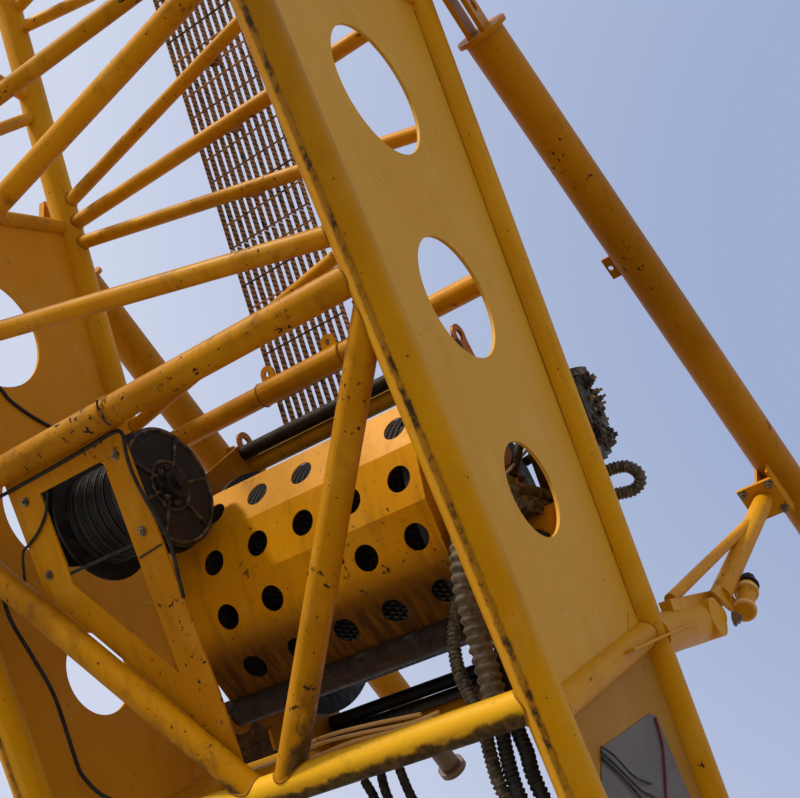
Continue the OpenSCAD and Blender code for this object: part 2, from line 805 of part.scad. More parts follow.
module rest_bracket(side) color(yellow) at_angle() difference() {
    union() {
        along_backstop(side) translate([-backstop_d / 2, 0, saddle_l]) {
            saddle_block(side, saddle_inboard, saddle_w, -saddle_drop - saddle_t, saddle_t, saddle_h);
            saddle_block(side, near_web, web_t, -saddle_drop, saddle_drop + 20, web_l);
            saddle_block(side, far_web, web_t, -saddle_drop, saddle_drop + 62, saddle_h);
        }
        tube(arm_foot(side), saddle_centre(side), arm_d);
        tube([rear_x - 396, side * (span_y + 13), stub_z + 150],
             arm_foot(side) + arm_join * (saddle_centre(side) - arm_foot(side)), rest_brace_d);
        translate([rest_end_x, side > 0 ? span_y : -span_y - 60, stub_z + 88])
            cube([ledge_l, 60, 58]);
        upright_plate(side * (span_y + 102), clamp_t) polygon([
            [rest_end_x + 302, stub_z + 141], [rest_end_x + 55, stub_z + 165], [rest_end_x - 20, stub_z + 68],
            [rest_end_x + 3, stub_z - 2], [rest_end_x + 97, stub_z + 26]
        ]);
        tube([rest_end_x + 46, side * (span_y + 150), stub_z - 5],
             [rest_end_x - 158, side * (span_y + 150), stub_z + 113], 2 * sleeve_r);
    }
    stub_tube(side);
    along_backstop(side) translate([0, 0, saddle_l - web_l])
        cylinder(h = 2 * web_l, r = backstop_d / 2 + seat_gap);
}
module rest_bracket_left() rest_bracket(1);
module rest_bracket_right() rest_bracket(-1);

rear_chord_left();
rear_chord_right();
front_chord_left();
front_chord_right();
side_panel_left();
side_panel_right();
foot_panel_left();
foot_panel_right();
foot_forgings();
head_lugs();
side_braces();
side_lattice();
front_cross_tubes();
front_diagonals();
front_k_braces();
rear_cross_tubes();
rear_diagonals();
walkway_grating();
winch_beams();
winch_frame_left();
winch_frame_right();
winch_gearbox();
winch_guard();
drum();
drum_rope();
valve_block();
reeving_frame();
reeving_cheeks();
reeving_drum();
reeving_rope();
backstop_lugs();
backstop_tube_left();
backstop_tube_right();
backstop_rod_left();
backstop_rod_right();
rest_bracket_left();
rest_bracket_right();
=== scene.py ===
# Looks of a crawler crane's boom butt section: worn paint, grease, rust, painted light and shade, welds,
# hoses and cables.
# Places are in metres, and the routes of hoses and cables in millimetres. boomPoint() takes the boom's
# own coordinates: X to the front, Y to the left and Z up the rear chords from the foot pins, before it leans.
import math
import random

import bmesh
import bpy
from mathutils import Matrix, Vector


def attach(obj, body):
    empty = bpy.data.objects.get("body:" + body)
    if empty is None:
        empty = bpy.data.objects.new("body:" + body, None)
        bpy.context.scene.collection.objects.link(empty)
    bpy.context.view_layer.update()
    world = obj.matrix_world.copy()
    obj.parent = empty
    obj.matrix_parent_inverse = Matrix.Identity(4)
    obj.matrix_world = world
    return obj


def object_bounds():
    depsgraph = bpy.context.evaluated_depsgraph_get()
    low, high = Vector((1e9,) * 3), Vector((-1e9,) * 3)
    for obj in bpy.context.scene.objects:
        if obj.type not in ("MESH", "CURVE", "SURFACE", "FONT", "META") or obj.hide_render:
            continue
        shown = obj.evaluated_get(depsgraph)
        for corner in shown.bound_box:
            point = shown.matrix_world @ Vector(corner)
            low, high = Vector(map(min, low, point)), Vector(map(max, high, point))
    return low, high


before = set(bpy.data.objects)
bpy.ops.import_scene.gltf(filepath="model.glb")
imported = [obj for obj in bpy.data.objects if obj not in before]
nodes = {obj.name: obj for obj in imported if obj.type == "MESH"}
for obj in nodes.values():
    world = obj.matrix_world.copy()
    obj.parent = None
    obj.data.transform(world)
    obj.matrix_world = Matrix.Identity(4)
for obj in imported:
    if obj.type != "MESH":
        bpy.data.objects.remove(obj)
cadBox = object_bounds()

boom = {
    "angle": math.radians(60),      # rear chords above the ground
    "halfSpan": 1.3,                # from the middle to a side panel
    "chordRadius": 0.084,
    "rearX": -0.3935,               # rear chords in front of the foot pins, before the lean
    "footDepth": 0.787,             # from the rear chords to the front ones at the foot
    "frontSlope": 0.146947,         # how fast the front chords leave the rear ones
    "winchX": -0.1745,              # main winch's axis
    "winchZ": 3.988,
}
fullTurn = 2 * math.pi
lean = math.pi / 2 - boom["angle"]
leanTurn = Matrix.Rotation(lean, 3, "Y")
frontLean = math.atan(boom["frontSlope"])


def boomPoint(x, y, z):
    return leanTurn @ Vector((x, y, z))


def frontX(z):
    return boom["rearX"] + boom["footDepth"] + boom["frontSlope"] * z


# Helpers for node trees
def feed(nt, socket, value):            # with a link, a colour or a plain value
    if isinstance(value, bpy.types.NodeSocket):
        nt.links.new(value, socket)
    elif socket.type == "RGBA":
        socket.default_value = (*value[:3], 1)
    else:
        socket.default_value = value


def addNode(nt, kind, inputs=None, **settings):
    n = nt.nodes.new(kind)
    for key, value in settings.items():
        setattr(n, key, value)
    for key, value in (inputs or {}).items():
        feed(nt, n.inputs[key], value)
    return n


def coords(nt, turn=(0, 0, 0), move=(0, 0, 0), scale=(1, 1, 1)):
    where = addNode(nt, "ShaderNodeTexCoord").outputs["Object"]
    given = {"Vector": where, "Rotation": turn, "Location": move}
    turned = addNode(nt, "ShaderNodeMapping", given).outputs[0]
    if scale == (1, 1, 1):
        return turned
    return addNode(nt, "ShaderNodeVectorMath", {0: turned, 1: scale}, operation="MULTIPLY").outputs[0]


def boomCoords(nt, scale=(1, 1, 1)):
    return coords(nt, turn=(0, -lean, 0), scale=scale)


def noise(nt, at, scale, detail=4, rough=0.55, warp=0.0):
    given = {"Vector": at, "Scale": scale, "Detail": detail, "Roughness": rough, "Distortion": warp}
    return addNode(nt, "ShaderNodeTexNoise", given).outputs["Fac"]


def between(nt, value, low, high):      # 0 up to low, 1 from high, smooth between
    start, end = (0, 1) if low < high else (1, 0)
    low, high = sorted((low, high))
    given = {"Value": value, "From Min": low, "From Max": high, "To Min": start, "To Max": end}
    return addNode(nt, "ShaderNodeMapRange", given, interpolation_type="SMOOTHSTEP").outputs[0]


def maths(nt, how, *values):
    return addNode(nt, "ShaderNodeMath", dict(enumerate(values)), operation=how).outputs[0]


def times(nt, a, b):
    return maths(nt, "MULTIPLY", a, b)


def minus(nt, a, b):
    return maths(nt, "SUBTRACT", a, b)


def scaled(nt, value, gain, base):      # value times gain, plus base
    return maths(nt, "MULTIPLY_ADD", value, gain, base)


def mixed(nt, fac, a, b):
    return addNode(nt, "ShaderNodeMix", {"Factor": fac, "A": a, "B": b}, data_type="RGBA").outputs["Result"]


def split(nt, vector):
    n = addNode(nt, "ShaderNodeSeparateXYZ", {0: vector})
    return n.outputs["X"], n.outputs["Y"], n.outputs["Z"]


def newMaterial(name, specular=0.5, tint=(1, 1, 1)):
    mat = bpy.data.materials.new(name)
    mat.use_nodes = True
    nt = mat.node_tree
    bsdf = nt.nodes["Principled BSDF"]
    feed(nt, bsdf.inputs["Specular IOR Level"], specular)
    feed(nt, bsdf.inputs["Specular Tint"], tint)
    return mat, nt, bsdf


# Camera: low beside the boom's front, looking up past the left side panel
camera = {
    "place": (6.104, 3.485, 0.004),
    "right": (-0.5984, 0.8012, -0.0091),
    "down": (-0.5122, -0.3912, -0.7646),
    "lens": 58.85,
    "sensor": 36,
    "clip": (0.05, 200),
}


def makeCamera(s):
    data = bpy.data.cameras.new("camera")
    data.sensor_width = s["sensor"]
    data.lens = s["lens"]
    data.clip_start, data.clip_end = s["clip"]
    obj = bpy.data.objects.new("camera", data)
    right = Vector(s["right"]).normalized()
    up = -Vector(s["down"]).normalized()
    back = right.cross(up).normalized()
    up = back.cross(right)
    turn = Matrix((right, up, back)).transposed()
    obj.matrix_world = Matrix.Translation(s["place"]) @ turn.to_4x4()
    bpy.context.scene.collection.objects.link(obj)
    bpy.context.scene.camera = obj


makeCamera(camera)
print("camera placed")

# Light and stage: a plain pale floor, a soft sun and a sky that is brighter on one side
stage = {
    "skyBright": (0.63, 0.68, 0.83),
    "skyDeep": (0.345, 0.425, 0.64),
    "skyTowards": (0.752, -0.02, -0.658),   # the sky brightens along this direction
    "skyFrom": -0.97,
    "skyTo": -0.75,
    "skyLight": (0.80, 0.86, 1.0),
    "skyStrength": 0.70,
    "floor": (0.62, 0.61, 0.59),
    "floorBounce": (0.30, 0.245, 0.17),     # what the floor gives back as light
    "floorRough": 0.9,
    "floorSize": 60,
    "floorGap": 0.002,
    "sunStrength": 3.7,
    "sunColour": (1.0, 0.93, 0.80),
    "sunFrom": (0.62, -0.34, 0.70),
    "sunSoftness": math.radians(6),
}


def seenBy(nt):                         # 1 for the camera and for what metal and glass show of the background
    path = addNode(nt, "ShaderNodeLightPath").outputs
    seen = maths(nt, "MAXIMUM", path["Is Camera Ray"], path["Is Glossy Ray"])
    return maths(nt, "MAXIMUM", seen, path["Is Transmission Ray"])


def makeSky(s):
    world = bpy.data.worlds.new("studio")
    bpy.context.scene.world = world
    world.use_nodes = True
    nt = world.node_tree
    nt.nodes.clear()
    where = addNode(nt, "ShaderNodeTexCoord").outputs["Generated"]
    given = {0: where, 1: Vector(s["skyTowards"]).normalized()}
    towards = addNode(nt, "ShaderNodeVectorMath", given, operation="DOT_PRODUCT").outputs["Value"]
    given = {"Value": towards, "From Min": s["skyFrom"], "From Max": s["skyTo"]}
    spread = addNode(nt, "ShaderNodeMapRange", given).outputs[0]
    sky = mixed(nt, spread, s["skyDeep"], s["skyBright"])
    shown = addNode(nt, "ShaderNodeBackground", {"Color": sky, "Strength": 1}).outputs[0]
    given = {"Color": s["skyLight"], "Strength": s["skyStrength"]}
    light = addNode(nt, "ShaderNodeBackground", given).outputs[0]
    mix = addNode(nt, "ShaderNodeMixShader", {"Fac": seenBy(nt), 1: light, 2: shown})
    addNode(nt, "ShaderNodeOutputWorld", {"Surface": mix.outputs[0]})


def makeSun(s):
    sun = bpy.data.lights.new("sun", "SUN")
    sun.energy = s["sunStrength"]
    sun.color = s["sunColour"]
    sun.angle = s["sunSoftness"]
    lamp = bpy.data.objects.new("sun", sun)
    lamp.rotation_mode = "QUATERNION"
    lamp.rotation_quaternion = Vector(s["sunFrom"]).to_track_quat("Z", "Y")
    bpy.context.scene.collection.objects.link(lamp)


def makeFloor(s):
    z = cadBox[0].z - s["floorGap"]
    r = s["floorSize"] / 2
    mesh = bpy.data.meshes.new("floor")
    mesh.from_pydata([(-r, -r, z), (r, -r, z), (r, r, z), (-r, r, z)], [], [(0, 1, 2, 3)])
    floor = bpy.data.objects.new("floor", mesh)
    mat, nt, bsdf = newMaterial("floorConcrete")
    feed(nt, bsdf.inputs["Roughness"], s["floorRough"])
    feed(nt, bsdf.inputs["Base Color"], mixed(nt, seenBy(nt), s["floorBounce"], s["floor"]))
    mesh.materials.append(mat)
    bpy.context.scene.collection.objects.link(floor)


makeSky(stage)
makeSun(stage)
makeFloor(stage)
bpy.context.scene.view_settings.view_transform = "Standard"
print("stage lit")

# Finishes. Patterns read Object coordinates, turned to the boom's own axes where they run along it.
paintSheen = {"specular": 0.12, "tint": (1.0, 0.80, 0.42)}
paints = {
    "boom": {
        "paint": (0.60, 0.262, 0.004), "deep": (0.47, 0.185, 0.003), "chalk": (0.66, 0.36, 0.045),
        "grime": (0.10, 0.042, 0.010), "steel": (0.035, 0.018, 0.011), "rust": (0.20, 0.070, 0.016),
        "chalky": 0.35, "grimy": 0.6, "streaky": 0.26, "chips": 0.85, "flecks": 0.8,
        "rough": 0.42, "seed": 0.0,
    },
    "chord": {
        "paint": (0.60, 0.278, 0.003), "deep": (0.52, 0.225, 0.002), "chalk": (0.64, 0.36, 0.050),
        "grime": (0.11, 0.045, 0.010), "steel": (0.030, 0.016, 0.010), "rust": (0.17, 0.060, 0.014),
        "chalky": 0.30, "grimy": 0.25, "streaky": 0.20, "chips": 0.25, "flecks": 0.35,
        "rough": 0.44, "seed": 3.1,
    },
    # the panels' paler, less saturated paint stands partly for a painted sky reflection
    "panel": {
        "paint": (0.60, 0.312, 0.040), "deep": (0.56, 0.280, 0.026), "chalk": (0.64, 0.370, 0.085),
        "grime": (0.20, 0.100, 0.030), "steel": (0.040, 0.022, 0.014), "rust": (0.22, 0.085, 0.020),
        "chalky": 0.35, "grimy": 0.12, "streaky": 0.10, "chips": 0.02, "flecks": 0.12,
        "rough": 0.52, "seed": 5.7,
    },
    "backstop": {
        "paint": (0.44, 0.172, 0.002), "deep": (0.33, 0.125, 0.001), "chalk": (0.47, 0.22, 0.02),
        "grime": (0.10, 0.040, 0.010), "steel": (0.022, 0.013, 0.009), "rust": (0.16, 0.055, 0.013),
        "chalky": 0.25, "grimy": 0.30, "streaky": 0.22, "chips": 0.80, "flecks": 0.9,
        "rough": 0.40, "seed": 8.3,
    },
}
paints["brace"] = {**paints["boom"], "paint": (0.50, 0.215, 0.002), "deep": (0.36, 0.142, 0.001),
                   "chips": 1.15, "flecks": 1.0, "grimy": 0.65, "seed": 11.9}
paints["guard"] = {**paints["boom"], "paint": (0.68, 0.285, 0.001), "deep": (0.60, 0.240, 0.001), "seed": 2.6}
# The near foot panel's paint is darker and grimier as painted shade under the side brace
paints["footPanel"] = {**paints["panel"], "paint": (0.350, 0.162, 0.016), "deep": (0.305, 0.136, 0.012),
                       "chalk": (0.41, 0.22, 0.04), "grimy": 0.3, "seed": 6.4}
paints["farPanel"] = {**paints["panel"], "paint": (0.62, 0.265, 0.010), "deep": (0.55, 0.225, 0.007),
                      "seed": 9.8}
# the welds' darker paint is rust and painted shade along the seams
paints["weld"] = {**paints["boom"], "paint": (0.36, 0.15, 0.006), "deep": (0.20, 0.078, 0.004),
                  "chips": 1.0, "grimy": 0.9, "flecks": 0.3}
# pale paint is painted sunlight, for the sunlit strips and the rest brackets' collars
paints["pale"] = {**paints["panel"], "paint": (0.70, 0.42, 0.16), "deep": (0.60, 0.35, 0.11), "chips": 0.6}


def paintLayers(nt, s):
    at = coords(nt, move=(s["seed"], 0.7 * s["seed"], 0))
    tone = between(nt, noise(nt, at, 0.9, 3), 0.38, 0.66)
    colour = mixed(nt, tone, s["paint"], s["deep"])
    chalk = between(nt, noise(nt, at, 3.2, 6, 0.62), 0.50, 0.72)
    colour = mixed(nt, times(nt, chalk, s["chalky"]), colour, s["chalk"])
    runs = noise(nt, boomCoords(nt, (16, 16, 1.1)), 1.0, 5, 0.6)
    colour = mixed(nt, times(nt, between(nt, runs, 0.50, 0.74), s["streaky"]), colour, s["grime"])
    smear = noise(nt, at, 6.5, 8, 0.64, 0.25)
    where = between(nt, noise(nt, at, 1.3, 2), 0.45, 0.62)
    grime = times(nt, times(nt, between(nt, smear, 0.53, 0.72), where), s["grimy"])
    colour = mixed(nt, grime, colour, s["grime"])

    # chips come in groups: a slow noise says where, a fast one gives their ragged shapes
    group = between(nt, noise(nt, at, 2.1, 2, 0.5), 0.42, 0.68)
    push = scaled(nt, group, 0.10 * s["chips"], noise(nt, at, 27, 6, 0.60, 0.5))
    chip = between(nt, push, 0.712, 0.722)
    halo = between(nt, push, 0.675, 0.715)
    # flecks: a few small round spots of bare steel
    spots = addNode(nt, "ShaderNodeTexVoronoi", {"Vector": at, "Scale": 30}).outputs
    pick = maths(nt, "GREATER_THAN", split(nt, spots["Color"])[0], 1 - 0.10 * s["flecks"])
    size = scaled(nt, noise(nt, at, 90, 2), 0.12, 0.06)
    fleck = times(nt, maths(nt, "LESS_THAN", spots["Distance"], size), pick)
    bare = maths(nt, "MAXIMUM", chip, fleck)
    colour = mixed(nt, times(nt, halo, 0.6), colour, s["rust"])
    colour = mixed(nt, bare, colour, s["steel"])

    rough = scaled(nt, noise(nt, at, 11, 5, 0.6), 0.22, s["rough"] - 0.08)
    rough = scaled(nt, maths(nt, "MAXIMUM", bare, grime), 0.35, rough)
    skin = times(nt, noise(nt, at, 150, 3, 0.6), 0.35)
    waves = scaled(nt, noise(nt, at, 12, 3, 0.5), 0.5, skin)
    return {"colour": colour, "rough": rough, "height": minus(nt, waves, times(nt, bare, 0.8))}


def finish(nt, bsdf, colour, rough, height, bump=0.35, depth=0.002):
    raised = addNode(nt, "ShaderNodeBump", {"Strength": bump, "Distance": depth, "Height": height})
    feed(nt, bsdf.inputs["Base Color"], colour)
    feed(nt, bsdf.inputs["Roughness"], rough)
    feed(nt, bsdf.inputs["Normal"], raised.outputs[0])


def wornPaint(name, s, wear=None, given=None, bump=0.35):
    mat, nt, bsdf = newMaterial(name, **paintSheen)
    layers = paintLayers(nt, s)
    if wear:                            # changes the layers, by settings of its own
        wear(nt, layers, given)
    finish(nt, bsdf, **layers, bump=bump)
    return mat


# The near panel's paint is paler and less saturated, partly as a painted sky reflection, and more saturated
# beside the rear chord
panelFade = {"colour": (0.57, 0.275, 0.012), "paleX": 0.05, "saturatedX": -0.34, "amount": 0.8}


def fadePanel(nt, layers, s):
    saturated = between(nt, split(nt, boomCoords(nt))[0], s["paleX"], s["saturatedX"])
    layers["colour"] = mixed(nt, times(nt, saturated, s["amount"]), layers["colour"], s["colour"])


# The front chords carry a dark band of rope grease and chafed paint along their front, and turn darker higher
# up
frontBand = {
    "chordX": 0.3935,
    "centre": math.radians(-2),
    "halfWidth": math.radians(10),
    "grease": (0.040, 0.022, 0.010),
    "worn": (0.20, 0.085, 0.014),
    "strip": (0.70, 0.35, 0.030),
    "upperDark": (0.27, 0.108, 0.004),
    "upperDarkFrom": 3.9,
    "upperDarkTo": 7.0,
}


def chafe(nt, layers, s):
    at = coords(nt, turn=(0, -lean - frontLean, 0))
    x, y, z = split(nt, at)
    half = s["halfWidth"]
    reach = minus(nt, x, s["chordX"] * math.cos(frontLean))
    angle = maths(nt, "ARCTAN2", minus(nt, maths(nt, "ABSOLUTE", y), boom["halfSpan"]), reach)
    wander = scaled(nt, noise(nt, coords(nt, scale=(2, 2, 2)), 1.0, 3), 0.22, -0.11)
    frayed = scaled(nt, noise(nt, at, 26, 6, 0.65, 0.6), 0.34, -0.17)
    off = maths(nt, "ADD", minus(nt, angle, s["centre"]), maths(nt, "ADD", wander, frayed))
    away = maths(nt, "ABSOLUTE", off)
    patchy = between(nt, noise(nt, at, 7.5, 7, 0.72), 0.44, 0.58)
    grease = times(nt, between(nt, away, 1.05 * half, 0.55 * half), patchy)
    worn = between(nt, away, 1.5 * half, 0.8 * half)
    strip = between(nt, maths(nt, "ABSOLUTE", maths(nt, "ADD", off, 2.3 * half)), 0.24, 0.1)
    # darker higher up the chord
    high = between(nt, z, s["upperDarkFrom"], s["upperDarkTo"])
    colour = mixed(nt, times(nt, high, 0.85), layers["colour"], s["upperDark"])
    colour = mixed(nt, times(nt, strip, scaled(nt, high, -0.35, 0.6)), colour, s["strip"])
    colour = mixed(nt, times(nt, worn, 0.55), colour, s["worn"])
    layers["colour"] = mixed(nt, grease, colour, s["grease"])
    layers["rough"] = scaled(nt, grease, 0.12, layers["rough"])
    layers["height"] = scaled(nt, grease, 0.8, layers["height"])


# Tubes near the winch are darkened on their undersides, up to a height, by black grease mixed with painted
# shade; low down, the lowest front tube's paint is lightened as painted sunlight
sunlitPaint = (0.85, 0.47, 0.02)
greaseShadeDark = (0.016, 0.012, 0.009)
greaseShadeLight = (0.085, 0.050, 0.022)
greaseAndShade = {
    "crossTube": {"topZ": 3.0, "softness": 0.3, "amount": 1.0, "sunlit": 0.75},
    "kBrace": {"topZ": 3.15, "softness": 0.5, "amount": 0.9, "sunlit": 0.0},
    "frame": {"topZ": 4.4, "softness": 1.2, "amount": 0.8, "sunlit": 0.0},
}


def greaseAndShadeUnder(nt, layers, s):
    at = boomCoords(nt)
    z = split(nt, at)[2]
    # painted sunlight: the paint is lightened low down, on the lowest front tube
    pale = times(nt, between(nt, z, s["topZ"] + 0.6, s["topZ"] + 0.2), s["sunlit"])
    colour = mixed(nt, pale, layers["colour"], sunlitPaint)
    # black grease and painted shade on the faces turned downwards, below the height
    low = between(nt, z, s["topZ"] + s["softness"], s["topZ"])
    given = {"Vector": addNode(nt, "ShaderNodeNewGeometry").outputs["Normal"], "Rotation": (0, -lean, 0)}
    facing = split(nt, addNode(nt, "ShaderNodeMapping", given, vector_type="VECTOR").outputs[0])[2]
    ragged = scaled(nt, noise(nt, at, 7, 7, 0.66, 0.3), 1.5, -0.75)
    under = between(nt, maths(nt, "ADD", facing, ragged), -0.18, -0.52)
    grease = times(nt, times(nt, under, low), s["amount"])
    mottled = mixed(nt, between(nt, noise(nt, at, 24, 5), 0.4, 0.65), greaseShadeDark, greaseShadeLight)
    layers["colour"] = mixed(nt, grease, colour, mottled)
    layers["rough"] = scaled(nt, grease, 0.2, layers["rough"])


def aroundAxis(nt, x, z, axisX, axisZ):
    return maths(nt, "ARCTAN2", minus(nt, z, axisZ), minus(nt, x, axisX))


# The winch guard: streaked by the rope, and darker towards its lower facets, where rust, dirt and painted
# shade are mixed in
guardFinish = {
    "streak": (0.64, 0.33, 0.035),
    "dirt": (0.045, 0.018, 0.007),
    "rust": (0.085, 0.029, 0.005),
}


def soilAndShadeGuard(nt, layers, s):
    x, y, z = split(nt, boomCoords(nt))
    angle = aroundAxis(nt, x, z, boom["winchX"], boom["winchZ"])
    strips = addNode(nt, "ShaderNodeCombineXYZ", {"X": times(nt, y, 22.0), "Y": times(nt, angle, 2.2)})
    runs = noise(nt, strips.outputs[0], 1.0, 6, 0.65)
    low = between(nt, scaled(nt, runs, 0.35, angle), 0.02, -0.34)
    # darker runs on the lower facets: dirt and painted shade
    dirtAndShadeRuns = times(nt, between(nt, runs, 0.38, 0.62), low)
    colour = mixed(nt, times(nt, between(nt, runs, 0.55, 0.75), 0.25), layers["colour"], s["streak"])
    # the lower facets turn dark brown: rust and painted shade
    colour = mixed(nt, times(nt, low, 0.88), colour, s["rust"])
    layers["colour"] = mixed(nt, times(nt, dirtAndShadeRuns, 0.9), colour, s["dirt"])
    layers["rough"] = scaled(nt, low, 0.25, layers["rough"])


def blackGrease(name, dusty, dark=(0.007, 0.0065, 0.006), light=(0.026, 0.021, 0.017)):
    mat, nt, bsdf = newMaterial(name, 0.22)
    at = coords(nt)
    clots = noise(nt, at, 19, 8, 0.66, 0.3)
    colour = mixed(nt, between(nt, clots, 0.42, 0.7), dark, light)
    dust = times(nt, between(nt, noise(nt, at, 3.5, 6, 0.6), 0.5, 0.7), dusty)
    colour = mixed(nt, dust, colour, (0.10, 0.062, 0.032))
    finish(nt, bsdf, colour, scaled(nt, between(nt, clots, 0.35, 0.6), 0.35, 0.42), clots, 0.7, 0.006)
    return mat


# Brown grease, wiped thin along the piece
brownGrease = {
    "tube": {"clot": (0.060, 0.034, 0.018), "dark": (0.018, 0.012, 0.009), "wiped": (0.17, 0.085, 0.028),
             "stretch": (1.5, 22, 22), "from": 0.52, "to": 0.7, "amount": 0.5},
    "beam": {"clot": (0.030, 0.017, 0.009), "dark": (0.010, 0.007, 0.005), "wiped": (0.11, 0.052, 0.016),
             "stretch": (22, 1.5, 22), "from": 0.55, "to": 0.72, "amount": 0.45},
}


def wipedGrease(nt, at, s):
    clots = noise(nt, at, 16, 8, 0.66, 0.3)
    colour = mixed(nt, between(nt, clots, 0.40, 0.68), s["clot"], s["dark"])
    wiped = between(nt, noise(nt, boomCoords(nt, s["stretch"]), 1.0, 5, 0.6), s["from"], s["to"])
    colour = mixed(nt, times(nt, wiped, s["amount"]), colour, s["wiped"])
    return colour, clots, scaled(nt, clots, 0.4, 0.38)


def greasyBrownTube(name):
    mat, nt, bsdf = newMaterial(name, 0.2)
    colour, clots, rough = wipedGrease(nt, boomCoords(nt), brownGrease["tube"])
    finish(nt, bsdf, colour, rough, clots, 0.6, 0.004)
    return mat


# The winch beams share a solid: one is painted, one black, and the rest brown with grease
beamPlaces = {"highZ": 4.0, "between": (-0.3565, 4.772), "towards": (0.756, 0.654),
              "blackZ": 3.39, "soft": 0.01}


def winchBeamPaint(name, s, p):
    mat, nt, bsdf = newMaterial(name, 0.14)
    paint = paintLayers(nt, s)["colour"]
    at = boomCoords(nt)
    x, _, z = split(nt, at)
    brown, clots, rough = wipedGrease(nt, at, brownGrease["beam"])
    black = between(nt, z, p["blackZ"] + p["soft"], p["blackZ"] - p["soft"])
    brown = mixed(nt, black, brown, (0.008, 0.007, 0.006))
    off = times(nt, minus(nt, x, p["between"][0]), p["towards"][0])
    off = scaled(nt, minus(nt, z, p["between"][1]), p["towards"][1], off)
    painted = times(nt, maths(nt, "LESS_THAN", off, 0), maths(nt, "GREATER_THAN", z, p["highZ"]))
    finish(nt, bsdf, mixed(nt, painted, brown, paint), rough, clots, 0.5, 0.004)
    return mat


def rustyBars(name, pitch=0.030):
    mat, nt, bsdf = newMaterial(name, 0.3)
    at = coords(nt)
    scale = noise(nt, at, 55, 5, 0.7)
    teeth = maths(nt, "SINE", times(nt, split(nt, boomCoords(nt))[2], fullTurn / pitch))
    teeth = between(nt, maths(nt, "ADD", teeth, scaled(nt, scale, 3.0, -1.5)), -0.9, 0.2)
    colour = mixed(nt, teeth, (0.060, 0.028, 0.012), (0.46, 0.225, 0.075))
    colour = mixed(nt, between(nt, noise(nt, at, 26, 4), 0.56, 0.64), colour, (0.014, 0.010, 0.008))
    finish(nt, bsdf, colour, 0.85, scale, 0.8, 0.003)
    return mat


# Greased wire rope: strands run across each turn, each strand's crown carrying a painted highlight, with
# grease in the grooves between turns
ropes = {
    "main": {"axis": (-0.1745, 3.988), "radius": 0.555, "turn": 0.032, "twist": 1.0,
             "grey": (0.055, 0.048, 0.040), "shine": 0.8},
    "reeving": {"axis": (0.6805, 4.510), "radius": 0.225, "turn": 0.018, "twist": 0.0,
                "grey": (0.048, 0.043, 0.038), "shine": 0.6},
}


def wireRope(name, s):
    mat, nt, bsdf = newMaterial(name, 0.16)
    at = boomCoords(nt)
    x, y, z = split(nt, at)
    across = times(nt, y, fullTurn / s["turn"])
    twist = s["twist"] * s["radius"] * fullTurn / (0.9 * s["turn"])
    around = times(nt, aroundAxis(nt, x, z, *s["axis"]), twist)
    lay = maths(nt, "SINE", scaled(nt, across, 0.62, around))
    broken = between(nt, noise(nt, at, 38, 5, 0.7), 0.38, 0.58)
    # painted highlight along the strands' crowns
    strandHighlight = times(nt, times(nt, between(nt, lay, 0.25, 0.95), broken), s["shine"])
    colour = mixed(nt, strandHighlight, (0.008, 0.007, 0.006), s["grey"])
    finish(nt, bsdf, colour, scaled(nt, broken, 0.15, 0.42), lay, 0.6, 0.004)
    return mat


def dullSteel(name, colour, metal=0.6):
    mat, nt, bsdf = newMaterial(name, 0.3)
    worn = noise(nt, coords(nt), 40, 6, 0.65)
    colour = mixed(nt, between(nt, worn, 0.35, 0.7), colour, (0.06, 0.038, 0.024))
    feed(nt, bsdf.inputs["Metallic"], metal)
    finish(nt, bsdf, colour, scaled(nt, worn, 0.35, 0.3), worn, 0.3)
    return mat


def ringedRubber(name, groove, ridge):
    mat, nt, bsdf = newMaterial(name, 0.16)
    along = addNode(nt, "ShaderNodeAttribute", attribute_name="along").outputs["Fac"]
    dirt = noise(nt, coords(nt), 30, 6, 0.65)
    colour = mixed(nt, between(nt, dirt, 0.35, 0.65), groove, ridge)
    finish(nt, bsdf, colour, scaled(nt, noise(nt, along, 9, 2), 0.25, 0.45), dirt)
    return mat


def barePlate(name):
    mat, nt, bsdf = newMaterial(name, 0.4)
    at = boomCoords(nt)
    cloud = noise(nt, at, 4, 7, 0.6)
    colour = mixed(nt, between(nt, cloud, 0.35, 0.65), (0.082, 0.070, 0.062), (0.122, 0.104, 0.090))
    colour = mixed(nt, between(nt, noise(nt, at, 21, 6, 0.65), 0.60, 0.72), colour, (0.15, 0.085, 0.04))
    feed(nt, bsdf.inputs["Metallic"], 0.15)
    finish(nt, bsdf, colour, scaled(nt, cloud, 0.3, 0.45), cloud, 0.3)
    return mat


boomYellow = wornPaint("boomYellow", paints["boom"])
chordYellow = wornPaint("chordYellow", paints["chord"])
farPanelOrange = wornPaint("farPanelOrange", paints["farPanel"])
weldYellow = wornPaint("weldYellow", paints["weld"])
paleSunlitPaint = wornPaint("paleSunlitPaint", paints["pale"])
blackGreased = blackGrease("blackGreased", 0.25)
cloggedIron = blackGrease("cloggedIron", 0.8, (0.020, 0.015, 0.011), (0.20, 0.16, 0.115))
brownGreased = greasyBrownTube("brownGreased")
boltSteel = dullSteel("boltSteel", (0.22, 0.16, 0.09))
brightSteel = dullSteel("brightSteel", (0.52, 0.49, 0.45))
brassFitting = dullSteel("brassFitting", (0.30, 0.17, 0.03), 0.3)
greyPlate = barePlate("greyPlate")
greyRubber = ringedRubber("greyRubber", (0.095, 0.074, 0.048), (0.21, 0.170, 0.118))
blackRubber = ringedRubber("blackRubber", (0.008, 0.007, 0.007), (0.034, 0.029, 0.024))
dustyRubber = ringedRubber("dustyRubber", (0.030, 0.023, 0.015), (0.15, 0.120, 0.082))
redRubber = ringedRubber("redRubber", (0.12, 0.02, 0.018), (0.20, 0.035, 0.03))

